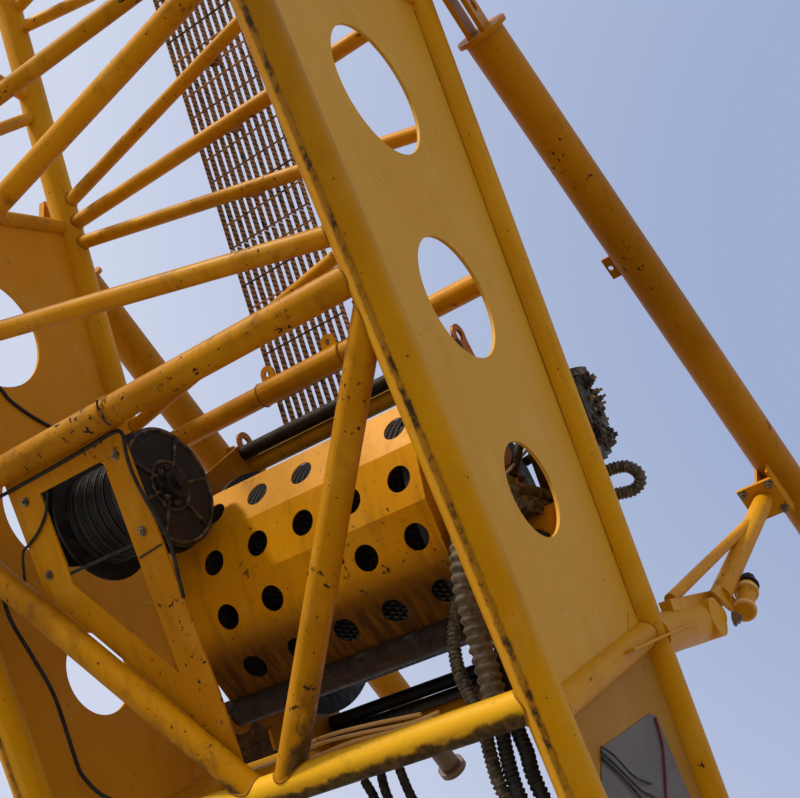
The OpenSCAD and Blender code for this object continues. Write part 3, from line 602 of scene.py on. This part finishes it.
# By node name, or without its side. Every other node wears the boom's own paint.
nodeFinish = {
    "front_chord": wornPaint("frontChordYellow", paints["chord"], chafe, frontBand),
    "rear_chord": chordYellow,
    "side_panel_left": wornPaint("panelTan", paints["panel"], fadePanel, panelFade),
    "side_panel_right": farPanelOrange,
    "foot_panel_left": wornPaint("footPanelBrown", paints["footPanel"]),
    "foot_panel_right": farPanelOrange,
    "side_braces": chordYellow,
    "front_cross_tubes": wornPaint("crossTubeYellow", paints["brace"], greaseAndShadeUnder, greaseAndShade["crossTube"]),
    "front_k_braces": wornPaint("kBraceYellow", paints["brace"], greaseAndShadeUnder, greaseAndShade["kBrace"]),
    "winch_frame": wornPaint("frameYellow", paints["backstop"], greaseAndShadeUnder, greaseAndShade["frame"]),
    "winch_guard": wornPaint("guardYellow", paints["guard"], soilAndShadeGuard, guardFinish, 0.25),
    "winch_beams": winchBeamPaint("beamPaint", paints["boom"], beamPlaces),
    "backstop_tube": wornPaint("backstopYellow", paints["backstop"]),
    "backstop_rod": dullSteel("rodSteel", (0.105, 0.050, 0.014), 0.0),
    "walkway_grating": rustyBars("gratingRust"),
    "drum": blackGreased,
    "drum_rope": wireRope("mainRope", ropes["main"]),
    "valve_block": cloggedIron,
    "reeving_drum": blackGreased,
    "reeving_cheeks": blackGreased,
    "reeving_rope": wireRope("reevingRope", ropes["reeving"]),
}


def dressNodes():
    for name, obj in nodes.items():
        stem = name.removesuffix("_left").removesuffix("_right")
        for slot in obj.material_slots:
            slot.material = nodeFinish.get(name, nodeFinish.get(stem, boomYellow))


dressNodes()
print("solids dressed")


# Node trees that grow pieces: tubes on paths, and hex bolts on points
def newTree(name, inputs):
    tree = bpy.data.node_groups.new(name, "GeometryNodeTree")
    ids = {label: tree.interface.new_socket(label, in_out="INPUT", socket_type="NodeSocket" + kind).identifier
           for label, kind in inputs.items()}
    tree.interface.new_socket("made", in_out="OUTPUT", socket_type="NodeSocketGeometry")
    return tree, ids, addNode(tree, "NodeGroupInput").outputs


def grown(tree, kind, inputs=None, **settings):
    return addNode(tree, "GeometryNode" + kind, inputs, **settings).outputs


def endTree(tree, made, finish):
    real = grown(tree, "RealizeInstances", {0: made})[0]
    dressed = grown(tree, "SetMaterial", {"Geometry": real, "Material": finish})[0]
    addNode(tree, "NodeGroupOutput", {0: dressed})


# Hoses with their rings, cables, thin pipes and weld beads. The rings follow the length along the path.
def pathTubeTree():
    tree, ids, given = newTree("pathTube", {
        "path": "Geometry", "diameter": "Float", "ringDepth": "Float", "ringPitch": "Float",
        "step": "Float", "sides": "Int", "finish": "Material",
    })
    path = grown(tree, "ResampleCurve", {"Curve": given["path"], "Length": given["step"]}, mode="LENGTH")[0]
    kept = {"Geometry": path, "Name": "along", "Value": grown(tree, "SplineParameter")["Length"]}
    path = grown(tree, "StoreNamedAttribute", kept, data_type="FLOAT", domain="POINT")[0]
    size = {"Resolution": given["sides"], "Radius": times(tree, given["diameter"], 0.5)}
    ring = grown(tree, "CurvePrimitiveCircle", size, mode="RADIUS")[0]
    tube = grown(tree, "CurveToMesh", {"Curve": path, "Profile Curve": ring, "Fill Caps": True})[0]
    along = grown(tree, "InputNamedAttribute", {"Name": "along"}, data_type="FLOAT")["Attribute"]
    turn = times(tree, maths(tree, "DIVIDE", along, given["ringPitch"]), fullTurn)
    swell = times(tree, maths(tree, "SINE", turn), times(tree, given["ringDepth"], 0.5))
    out = {0: grown(tree, "InputNormal")[0], "Scale": swell}
    push = addNode(tree, "ShaderNodeVectorMath", out, operation="SCALE").outputs[0]
    tube = grown(tree, "SetPosition", {"Geometry": tube, "Offset": push})[0]
    endTree(tree, grown(tree, "SetShadeSmooth", {"Geometry": tube})[0], given["finish"])
    return tree, ids


# Sides, radius, height and rise of a bolt's washer, head and thread, as shares of the bolt's size
boltParts = ((16, 0.78, 0.16, 0.08), (6, 0.58, 0.62, 0.45), (10, 0.28, 0.5, 0.98))


def boltTree():
    inputs = {"points": "Geometry", "across": "Float", "height": "Float", "finish": "Material"}
    tree, ids, given = newTree("hexBolts", inputs)
    join = addNode(tree, "GeometryNodeJoinGeometry")
    for sides, radius, height, rise in boltParts:
        part = grown(tree, "MeshCylinder", {
            "Vertices": sides, "Radius": times(tree, given["across"], radius),
            "Depth": times(tree, given["height"], height),
        })["Mesh"]
        lift = addNode(tree, "ShaderNodeCombineXYZ", {"Z": times(tree, given["height"], rise)}).outputs[0]
        feed(tree, join.inputs[0], grown(tree, "Transform", {"Geometry": part, "Translation": lift})[0])
    facing = grown(tree, "InputNamedAttribute", {"Name": "facing"}, data_type="FLOAT_VECTOR")["Attribute"]
    aim = addNode(tree, "FunctionNodeAlignRotationToVector", {"Vector": facing}, axis="Z").outputs[0]
    placed = {"Points": given["points"], "Instance": join.outputs[0], "Rotation": aim}
    endTree(tree, grown(tree, "InstanceOnPoints", placed)[0], given["finish"])
    return tree, ids


pathTube = pathTubeTree()
hexBolts = boltTree()


def grow(base, kit, s, mat):            # runs a tree on an object and gives back the plain mesh
    tree, ids = kit
    bpy.context.scene.collection.objects.link(base)
    modifier = base.modifiers.new("grow", "NODES")
    modifier.node_group = tree
    for name, value in {**s, "finish": mat}.items():
        if name in ids:
            modifier[ids[name]] = value
    graph = bpy.context.evaluated_depsgraph_get()
    mesh = bpy.data.meshes.new_from_object(base.evaluated_get(graph), depsgraph=graph)
    base.modifiers.remove(modifier)
    bpy.data.objects.remove(base)
    return mesh


def smoothPath(points, parts):          # Catmull-Rom curve through the points
    p = [Vector(q) for q in points]
    p = [2 * p[0] - p[1]] + p + [2 * p[-1] - p[-2]]
    path = []
    for a, b, c, d in zip(p, p[1:], p[2:], p[3:]):
        for k in range(parts):
            t = k / parts
            path.append(0.5 * (2 * b + (c - a) * t + (2 * a - 5 * b + 4 * c - d) * t ** 2
                               + (3 * b - a - 3 * c + d) * t ** 3))
    return path + [p[-2]]


def boomPath(points, parts=5):          # from a route in millimetres
    return [boomPoint(*p) for p in smoothPath([tuple(c / 1000 for c in q) for q in points], parts)]


def pathCurve(paths):
    data = bpy.data.curves.new("path", "CURVE")
    data.dimensions = "3D"
    for path in paths:
        line = data.splines.new("POLY")
        line.points.add(len(path) - 1)
        for point, place in zip(line.points, path):
            point.co = (*place, 1)
    return bpy.data.objects.new("path", data)


def addPiece(name, mesh):
    mesh.name = name
    obj = bpy.data.objects.new(name, mesh)
    bpy.context.scene.collection.objects.link(obj)
    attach(obj, "boom")
    return obj


plainTube = {"ringDepth": 0.0, "ringPitch": 0.02, "step": 0.02, "sides": 10}


def tubes(name, paths, s, mat):
    return addPiece(name, grow(pathCurve(paths), pathTube, {**plainTube, **s}, mat))


def bolts(name, places, s, mat):
    mesh = bpy.data.meshes.new(name)
    mesh.from_pydata([boomPoint(*p) for p, facing in places], [], [])
    mesh.attributes.new("facing", "FLOAT_VECTOR", "POINT")
    for item, (p, facing) in zip(mesh.attributes["facing"].data, places):
        item.vector = boomPoint(*facing)
    return addPiece(name, grow(bpy.data.objects.new(name, mesh), hexBolts, s, mat))


def solidPiece(name, bm, mat):     # from a shape in the boom's own coordinates
    for v in bm.verts:
        v.co = boomPoint(*v.co)
    mesh = bpy.data.meshes.new(name)
    bm.to_mesh(mesh)
    bm.free()
    mesh.materials.append(mat)
    return addPiece(name, mesh)


# Hoses from the winch: they hang behind the lowest front tube and end in couplings at the left foot
hoses = {
    "big": {"diameter": 0.098, "ringDepth": 0.012, "ringPitch": 0.042, "step": 0.0055, "sides": 14,
            "rubber": greyRubber, "route": [
        (-60, 1030, 4035), (80, 1040, 4040), (220, 1035, 4000), (350, 1020, 3915), (445, 995, 3800),
        (495, 975, 3680), (515, 964, 3560), (520, 960, 3440), (535, 962, 3320), (560, 968, 3200),
        (595, 978, 3090), (634, 988, 3023),
    ]},
    "small": {"diameter": 0.052, "ringDepth": 0.010, "ringPitch": 0.022, "step": 0.0045,
              "rubber": dustyRubber, "route": [
        (-40, 1060, 3790), (90, 1010, 3870), (230, 900, 3790), (307, 855, 3641), (351, 818, 3565),
        (430, 797, 3428), (498, 811, 3311), (554, 851, 3214), (617, 906, 3104), (663, 929, 3025),
        (718, 950, 2930), (775, 985, 2800), (760, 1040, 2600), (640, 1100, 2200), (480, 1130, 1800),
        (380, 1140, 1450), (360, 1145, 1250),
    ]},
    "middle": {"diameter": 0.056, "ringDepth": 0.008, "ringPitch": 0.024, "step": 0.0048,
               "rubber": blackRubber, "route": [
        (634, 988, 3023), (699, 1006, 2911), (765, 1040, 2775), (750, 1090, 2600), (630, 1150, 2200),
        (470, 1180, 1800), (370, 1190, 1450), (350, 1195, 1250),
    ]},
    "rear": {"diameter": 0.058, "ringDepth": 0.008, "ringPitch": 0.024, "step": 0.0048,
             "rubber": blackRubber, "route": [
        (-130, 1130, 3700), (-20, 1110, 3760), (120, 1050, 3730), (260, 990, 3560), (386, 979, 3366),
        (504, 1001, 3162), (595, 1034, 3004), (646, 1067, 2917), (695, 1086, 2832), (720, 1120, 2700),
        (660, 1170, 2450), (540, 1200, 2100), (410, 1220, 1750), (330, 1225, 1450), (310, 1228, 1250),
    ]},
}
for key, s in hoses.items():
    path = boomPath(s["route"], 3)
    hose = tubes(key + "Hose", [path], s, s["rubber"])
print("hanging hoses made")

# Their couplings, held by a bracket inside the left foot panel
couplings = {"diameter": 0.075, "above": 30, "below": 80, "sides": 6, "step": 0.2}
hoseEnds = [hoses[key]["route"][-1] for key in ("small", "middle", "rear")]
ends = [boomPath([(x, y, z + couplings["above"]), (x, y, z - couplings["below"])], 1) for x, y, z in hoseEnds]
tubes("hoseCouplings", ends, couplings, boltSteel)

# Hoses between the winch motor and the valve block, past the lower panel hole
motorHoses = {
    "loop": {"diameter": 0.056, "ringDepth": 0.009, "ringPitch": 0.019, "step": 0.0042, "sides":
        12, "route": [
        (-120, 1060, 3880), (30, 1090, 3950), (105, 1100, 3978), (-20, 1100, 3985),
        (-157, 1100, 3972), (-338, 1105, 3945), (-480, 1130, 3912), (-580, 1180, 3893),
        (-640, 1250, 3890), (-640, 1310, 3884), (-640, 1378, 3873), (-640, 1430, 3893),
        (-640, 1440, 3942), (-640, 1395, 3990), (-640, 1330, 4006), (-650, 1270, 4010),
        (-690, 1240, 4062),
    ]},
    "straight": {"diameter": 0.056, "ringDepth": 0.006, "ringPitch": 0.024, "step": 0.0048, "sides":
        12, "route": [
        (-100, 1130, 3880), (60, 1110, 3915), (-100, 1100, 3926), (-286, 1100, 3890), (-450, 1110, 3880),
        (-560, 1150, 3930), (-600, 1200, 4010), (-610, 1230, 4062),
    ]},
}
for key, s in motorHoses.items():
    tubes(key + "Hose", [boomPath(s["route"], 3)], s, dustyRubber)
print("motor hoses made")

# Cables along the tubes and the reeving winch
cables = {
    "crossTubeCable": {"diameter": 0.018, "route": [
        (1026, -1190, 4730), (1029, -910, 4722), (1029, -705, 4722), (1029, -503, 4725), (1030, -305, 4730),
        (1030, -167, 4735), (1024, -121, 4715), (1012, -138, 4633), (998, -145, 4533), (977, -125, 4391),
        (958, -97, 4266), (943, -94, 4165), (933, -105, 4096), (925, -115, 4040), (905, -135, 3960),
    ]},
    "farCable": {"diameter": 0.022, "route": [
        (640, -1288, 5640), (490, -1288, 5471), (441, -1288, 5405), (326, -1288, 5326), (196, -1288, 5263),
        (60, -1288, 5210),
    ]},
    "frameCable": {"diameter": 0.014, "route": [
        (1012, -640, 4640), (1014, -655, 4597), (1006, -695, 4545), (1000, -770, 4490), (994, -846, 4460),
        (991, -898, 4439), (978, -935, 4355), (965, -960, 4280),
    ]},
    "chordCable": {"diameter": 0.020, "route": [
        (860, -1222, 4425), (855, -1222, 4225), (769, -1222, 4012), (697, -1222, 3816), (666, -1222, 3514),
        (644, -1222, 3423), (560, -1222, 3320), (430, -1240, 3260),
    ]},
    "tubeCrack": {"diameter": 0.009, "route": [
        (1175, -77, 4843), (1170, -90, 4815), (1167, -74, 4789), (1161, -84, 4755), (1157, -60, 4721),
    ]},
    "legSeam": {"diameter": 0.008, "route": [(950, -274, 4192), (952, -133, 4206)]},
    "windowRod": {"diameter": 0.016, "route": [
        (946, -700, 4262), (945, -655, 4265), (944, -295, 4260), (944, -250, 4258),
    ]},
}
for name, s in cables.items():
    tubes(name, [boomPath(s["route"], 4)], {"sides": 8, **s}, blackRubber)
# Thin pale tubes just above and behind the lowest front tube stand for sunlit strips: painted sunlight
sunlitStrips = {"diameter": 0.017, "sides": 8, "step": 0.03, "routes": [
    [(712, -60, 3146), (727, 166, 3156), (729, 361, 3165), (725, 586, 3150), (724, 760, 3150)],
    [(700, -60, 3180), (716, 189, 3201), (714, 410, 3186), (712, 640, 3160), (715, 790, 3165)],
    [(700, -20, 3200), (704, 200, 3222), (700, 420, 3210), (705, 700, 3180)],
]}


def runTubes(name, s, mat):
    tubes(name, [boomPath(route) for route in s["routes"]], s, mat)


runTubes("sunlitStrips", sunlitStrips, paleSunlitPaint)
print("cables made")

# Hex bolts of the reeving winch's frame, on the plane of the front chords
frameFacing = (math.cos(frontLean), 0, -math.sin(frontLean))
reevingBolts = {"across": 0.030, "height": 0.020, "behind": 0.0635,
                "places": [(-0.199, 4.634), (-0.784, 4.636), (-0.801, 4.288), (-0.209, 4.284)]}


def onFrontPlane(y, z, behind):
    return (frontX(z) - behind * frameFacing[0], y, z - behind * frameFacing[2])


places = [(onFrontPlane(y, z, reevingBolts["behind"]), frameFacing) for y, z in reevingBolts["places"]]
bolts("reevingFrameBolts", places, reevingBolts, boltSteel)
print("bolts made")

# Bare grey plate on the near foot panel, with its wires
footPlate = {
    "outline": [(0.519, 2.844), (-0.054, 2.893), (-0.120, 2.874), (-0.164, 2.514), (-0.10, 2.30),
                (0.36, 2.30), (0.667, 2.681)],
    "y": 1.3085, "thickness": 0.004,
}


def flatPlate(name, s, mat):
    bm = bmesh.new()
    low = [bm.verts.new((x, s["y"], z)) for x, z in s["outline"]]
    high = [bm.verts.new((x, s["y"] + s["thickness"], z)) for x, z in s["outline"]]
    bm.faces.new(low)
    bm.faces.new(high[::-1])
    for i in range(len(low)):
        j = (i + 1) % len(low)
        bm.faces.new((low[i], high[i], high[j], low[j]))
    bmesh.ops.recalc_face_normals(bm, faces=bm.faces)
    return solidPiece(name, bm, mat)


flatPlate("footPlate", footPlate, greyPlate)
plateWires = {"diameter": 0.009, "sides": 6, "routes": [
    [(558, 1322, 2832), (459, 1324, 2753), (330, 1324, 2642), (217, 1322, 2588), (120, 1318, 2500)],
    [(540, 1322, 2850), (470, 1330, 2800), (360, 1330, 2700), (200, 1322, 2640)],
    [(560, 1320, 2810), (430, 1322, 2700), (300, 1322, 2560), (230, 1318, 2480)],
]}
redLine = {"diameter": 0.011, "sides": 6, "routes": [
    [(-90, 1318, 2870), (-60, 1319, 2760), (30, 1319, 2640), (92, 1318, 2566), (140, 1318, 2440)],
]}
runTubes("plateWires", plateWires, blackRubber)
runTubes("redLine", redLine, redRubber)
print("foot plate made")

# Weld beads where the tubes meet the chords
weld = {"diameter": 0.012, "ringDepth": 0.0045, "ringPitch": 0.011, "step": 0.0042, "sides": 6, "steps": 40}
hosts = {                               # direction and radius of the tube that a bead runs around on
    "rear": (Vector((0, 0, 1)), boom["chordRadius"]),
    "front": (Vector((math.sin(frontLean), 0, math.cos(frontLean))), boom["chordRadius"]),
    "crossTube": (Vector((0, 1, 0)), 0.070),
}


def chordPoint(face, side, z):
    return Vector((boom["rearX"] if face == "rear" else frontX(z), side * boom["halfSpan"], z))


def ring(centre, axis, across, radius):
    over = axis.cross(across)
    turns = [fullTurn * k / weld["steps"] for k in range(weld["steps"] + 1)]
    return [centre + radius * (math.cos(t) * across + math.sin(t) * over) for t in turns]


def saddlePath(start, end, radius, along, hostRadius):
    # where a round tube from start to end comes out of the round tube that it starts in
    axis = (end - start).normalized()
    path = []
    for rim in ring(start, axis, axis.cross(along).normalized(), radius):
        off = rim - start
        flatOff = off - off.dot(along) * along
        flatAxis = axis - axis.dot(along) * along
        a = flatAxis.length_squared
        b = 2 * flatOff.dot(flatAxis)
        c = flatOff.length_squared - hostRadius ** 2
        inside = b * b - 4 * a * c
        if inside < 0:
            return []
        path.append(rim + axis * (-b + math.sqrt(inside)) / (2 * a))
    return path


# Face, left station, right station and radius of each tube of the front and rear faces
faceTubes = [
    ("front", 3.080, 3.080, 0.0700), ("front", 4.800, 4.800, 0.0665), ("front", 6.290, 6.290, 0.0415),
    ("front", 4.970, 5.540, 0.0445), ("front", 6.190, 5.660, 0.0540), ("front", 6.420, 7.183, 0.0445),
    ("front", 8.101, 7.323, 0.0445),
    ("rear", 3.170, 3.170, 0.0605), ("rear", 5.070, 5.070, 0.0605), ("rear", 6.600, 6.600, 0.0445),
    ("rear", 5.745, 5.250, 0.0380), ("rear", 5.890, 6.480, 0.0415), ("rear", 7.340, 6.730, 0.0415),
]
kBrace = {"topZ": 4.720, "footY": 0.078, "footZ": 3.080, "radius": 0.0635}
sideBrace = {"rearZ": 3.222, "frontZ": 3.024, "radius": 0.064}


def chordWelds():
    joints = []
    for face, leftZ, rightZ, radius in faceTubes:
        left, right = chordPoint(face, 1, leftZ), chordPoint(face, -1, rightZ)
        joints += [(left, right, radius, face), (right, left, radius, face)]
    for side in (-1, 1):                # K braces, at the chords and at the lowest front tube
        top = chordPoint("front", side, kBrace["topZ"])
        foot = Vector((frontX(kBrace["footZ"]), side * kBrace["footY"], kBrace["footZ"]))
        joints += [(top, foot, kBrace["radius"], "front"), (foot, top, kBrace["radius"], "crossTube")]
    for side in (-1, 1):                # side braces and their stubs, at both chords
        rear = chordPoint("rear", side, sideBrace["rearZ"])
        front = chordPoint("front", side, sideBrace["frontZ"])
        joints += [(rear, front, sideBrace["radius"], "rear"), (front, rear, sideBrace["radius"], "front")]
    paths = [saddlePath(start, end, radius, *hosts[host]) for start, end, radius, host in joints]
    return [[boomPoint(*p) for p in path] for path in paths if path]


tubes("chordWelds", chordWelds(), weld, weldYellow)

# Centre, axis and radius of the seams around the middle tubes
tubeSeams = [
    ((frontX(4.8), -0.070, 4.8), (0, 1, 0), 0.0665), ((frontX(4.8), -0.096, 4.8), (0.06, 1, 0.04), 0.0675),
    ((boom["rearX"], 0.250, 5.07), (0, 1, 0), 0.0640), ((boom["rearX"], -0.305, 5.07), (0, 1, 0), 0.0640),
]


def seamPath(centre, axis, radius):
    axis = Vector(axis).normalized()
    return [boomPoint(*p) for p in ring(Vector(centre), axis, axis.orthogonal().normalized(), radius)]


tubes("tubeSeams", [seamPath(*s) for s in tubeSeams], weld, weldYellow)

# Welds along both chords, on the outer face of each side panel
panelSeams = {"diameter": 0.010, "ringDepth": 0.003, "ringPitch": 0.011, "step": 0.0046, "sides": 5,
              "out": 0.0095, "rearZ": (3.31, 4.586, 6.50), "frontZ": (3.12, 4.8, 6.30)}


def panelWelds(s):
    paths = []
    inner = boom["chordRadius"] / math.cos(frontLean)
    for side in (-1, 1):
        y = side * (boom["halfSpan"] + s["out"])
        paths.append([boomPoint(boom["rearX"] + boom["chordRadius"], y, z) for z in s["rearZ"]])
        paths.append([boomPoint(frontX(z) - inner, y, z) for z in s["frontZ"]])
    return paths


tubes("panelWelds", panelWelds(panelSeams), panelSeams, weldYellow)
print("welds made")

# Backstops: their own frame runs down the tube from the pin
backstop = {"angle": math.radians(218), "splay": math.radians(2), "pin": (-0.4195, 1.487, 6.620)}


def backstopPoint(side, x, y, down):
    turn, splay = backstop["angle"], backstop["splay"] * side
    pinX, pinY, pinZ = backstop["pin"]
    out = y * math.cos(splay) + down * math.sin(splay)
    run = down * math.cos(splay) - y * math.sin(splay)
    return Vector((pinX + x * math.cos(turn) + run * math.sin(turn), side * pinY + out,
                   pinZ - x * math.sin(turn) + run * math.cos(turn)))


def saddlePlaces(s):
    places = []
    for side in (-1, 1):
        facing = backstopPoint(side, -1, 0, 0) - backstopPoint(side, 0, 0, 0)
        for y in (-s["reachY"], s["reachY"]):
            for down in (-s["reachDown"], s["reachDown"]):
                at = backstopPoint(side, -s["drop"], y - side * s["inboard"], s["down"] + down)
                places.append((at, facing))
    return places


saddleBolts = {"across": 0.034, "height": 0.036, "drop": 0.215, "inboard": 0.110, "down": 3.452,
               "reachY": 0.082, "reachDown": 0.094}
bolts("saddleBolts", saddlePlaces(saddleBolts), saddleBolts, boltSteel)

# Nuts and collars of the short sleeve on each rest bracket
sleeve = {
    "direction": Vector((-0.2041, 0, 0.118)).normalized(),
    "nut": (-1.585, 1.45, 3.307),
    "lowNut": (-1.300, 1.412, 3.170),
    "collars": (-1.3775, 1.45, 3.187),
    "along": (0.018, 0.19),
    "halfWidth": 0.012,
}


def bothSides(x, y, z):
    return [(side, (x, side * y, z)) for side in (-1, 1)]


def restCollars(s):
    half = s["halfWidth"] * s["direction"]
    paths = []
    for _, at in bothSides(*s["collars"]):
        for along in s["along"]:
            centre = Vector(at) + along * s["direction"]
            paths.append([boomPoint(*(centre - half)), boomPoint(*(centre + half))])
    return paths


nuts = [(at, sleeve["direction"]) for _, at in bothSides(*sleeve["nut"])]
bolts("restNuts", nuts, {"across": 0.082, "height": 0.09}, blackGreased)
nuts = [(at, (0, side, -0.15)) for side, at in bothSides(*sleeve["lowNut"])]
bolts("restLowNuts", nuts, {"across": 0.052, "height": 0.036}, boltSteel)
# the collars' pale paint is painted sunlight
tubes("restCollars", restCollars(sleeve), {"diameter": 0.128, "sides": 24, "step": 0.2}, paleSunlitPaint)
print("rest brackets dressed")

# Plugs and ports all over the valve block, each facing its own way
valve = {"seed": 4, "count": 90, "plugs": 60, "centre": (-0.707, 1.240), "radius": 0.10,
         "low": 4.14, "high": 4.50}


def valveFittings(s):
    pick = random.Random(s["seed"])
    found = []
    for _ in range(s["count"]):
        turn = pick.uniform(0, fullTurn)
        z = pick.uniform(s["low"], s["high"])
        reach = s["radius"] * pick.uniform(0.78, 1.02)
        at = (s["centre"][0] + reach * math.cos(turn), s["centre"][1] + reach * math.sin(turn), z)
        found.append((at, (math.cos(turn), math.sin(turn), pick.uniform(-0.4, 0.4))))
    return found


fittings = valveFittings(valve)
bolts("valvePlugs", fittings[:valve["plugs"]], {"across": 0.040, "height": 0.032}, cloggedIron)
bolts("valvePorts", fittings[valve["plugs"]:], {"across": 0.026, "height": 0.044}, brassFitting)

# A wheel's axis, X and Z, and the Y of its face: bolts stand in a ring around it
hub = {"x": boom["winchX"], "y": 1.005, "z": boom["winchZ"], "ring": 0.145, "bolts": 10}
cheek = {"x": 0.6805, "y": -0.222, "z": 4.510, "ring": 0.085, "bolts": 8, "ribs": (0.09, 0.26),
         "ribsOut": 0.004, "ribsAt": (-62, -20, 28, 118, 172, 228), "rims": (0.12, 0.275),
         "rimsOut": 0.002, "rimSteps": 48}


def wheelPoint(s, reach, turn, out=0.0):
    return (s["x"] + reach * math.cos(turn), s["y"] + out, s["z"] + reach * math.sin(turn))


def boltRing(s):
    return [(wheelPoint(s, s["ring"], fullTurn * k / s["bolts"]), (0, 1, 0)) for k in range(s["bolts"])]


bolts("hubBolts", boltRing(hub), {"across": 0.030, "height": 0.022}, boltSteel)

# Centres and sizes of the manifold's blocks, between the winch and the left rear chord
manifoldBlocks = [
    ((-0.545, 1.075, 4.08), (0.12, 0.15, 0.34)), ((-0.50, 1.06, 4.30), (0.09, 0.12, 0.14)),
    ((-0.60, 1.09, 3.95), (0.10, 0.12, 0.10)), ((-0.615, 1.13, 4.20), (0.08, 0.12, 0.20)),
]


def blocks(name, parts, bevel, mat):
    bm = bmesh.new()
    for centre, size in parts:
        made = bmesh.ops.create_cube(bm, size=1)["verts"]
        bmesh.ops.scale(bm, vec=size, verts=made)
        bmesh.ops.translate(bm, vec=centre, verts=made)
    bmesh.ops.bevel(bm, geom=bm.edges[:], offset=bevel, segments=2, affect="EDGES", profile=0.5)
    return solidPiece(name, bm, mat)


blocks("winchFootPlate", [((-0.30, -1.01, 3.43), (0.016, 0.42, 0.34))], 0.003, brownGreased)
blocks("winchManifold", manifoldBlocks, 0.012, brownGreased)
manifoldHoses = {"diameter": 0.044, "step": 0.01, "ringDepth": 0.003, "routes": [
    [(-560, 1110, 4240), (-470, 1150, 4330), (-330, 1150, 4300), (-150, 1130, 4200), (-60, 1080, 4060)],
    [(-540, 1140, 4060), (-420, 1170, 4120), (-300, 1150, 4150), (-190, 1110, 4120)],
    [(-520, 1120, 4330), (-480, 1160, 4420), (-540, 1190, 4500), (-640, 1220, 4480)],
]}
manifoldPipe = [(90, 1100, 4035), (48, 1100, 4058), (-264, 1100, 4182), (-470, 1100, 4262)]
runTubes("manifoldHoses", manifoldHoses, blackRubber)
tubes("manifoldPipe", [boomPath(manifoldPipe, 4)], {"diameter": 0.016, "sides": 8, "step": 0.03}, brightSteel)
print("valves dressed")

# Hub, ribs and bolts on the reeving winch's left cheek
bolts("cheekHub", [(wheelPoint(cheek, 0, 0), (0, 1, 0))], {"across": 0.13, "height": 0.06}, blackGreased)
bolts("cheekBolts", boltRing(cheek), {"across": 0.026, "height": 0.022}, cloggedIron)


def cheekRibs(s):
    turns = [math.radians(turn) for turn in s["ribsAt"]]
    ribs = [[wheelPoint(s, reach, turn, s["ribsOut"]) for reach in s["ribs"]] for turn in turns]
    turns = [fullTurn * k / s["rimSteps"] for k in range(s["rimSteps"] + 1)]
    rims = [[wheelPoint(s, reach, turn, s["rimsOut"]) for turn in turns] for reach in s["rims"]]
    return [[boomPoint(*p) for p in path] for path in ribs + rims]


tubes("cheekRibs", cheekRibs(cheek), {"diameter": 0.016, "sides": 8, "step": 0.012}, cloggedIron)

# Black hoses along the lowest rear tube, and short ones behind the lowest front tube
rearHoses = {"diameter": 0.044, "step": 0.03, "routes": [
    [(x, -478, z), (x + 4, 100, z - 4), (x + 2, 560, z), (x, 900, z + 4)]
    for x, z in ((-400, 3254), (-360, 3260), (-322, 3246))
]}
lowHoses = {"diameter": 0.040, "step": 0.012, "ringDepth": 0.003, "routes": [
    [(560, 250, 3000), (600, 300, 2920), (640, 330, 2800), (600, 380, 2600), (480, 420, 2350)],
    [(540, 320, 3060), (583, 355, 3024), (649, 397, 2910), (650, 450, 2750), (540, 500, 2400)],
    [(560, 430, 3060), (598, 459, 3000), (665, 517, 2883), (650, 560, 2700), (540, 590, 2400)],
]}
runTubes("rearTubeHoses", rearHoses, blackRubber)
runTubes("lowHoses", lowHoses, blackRubber)
print("tube hoses made")
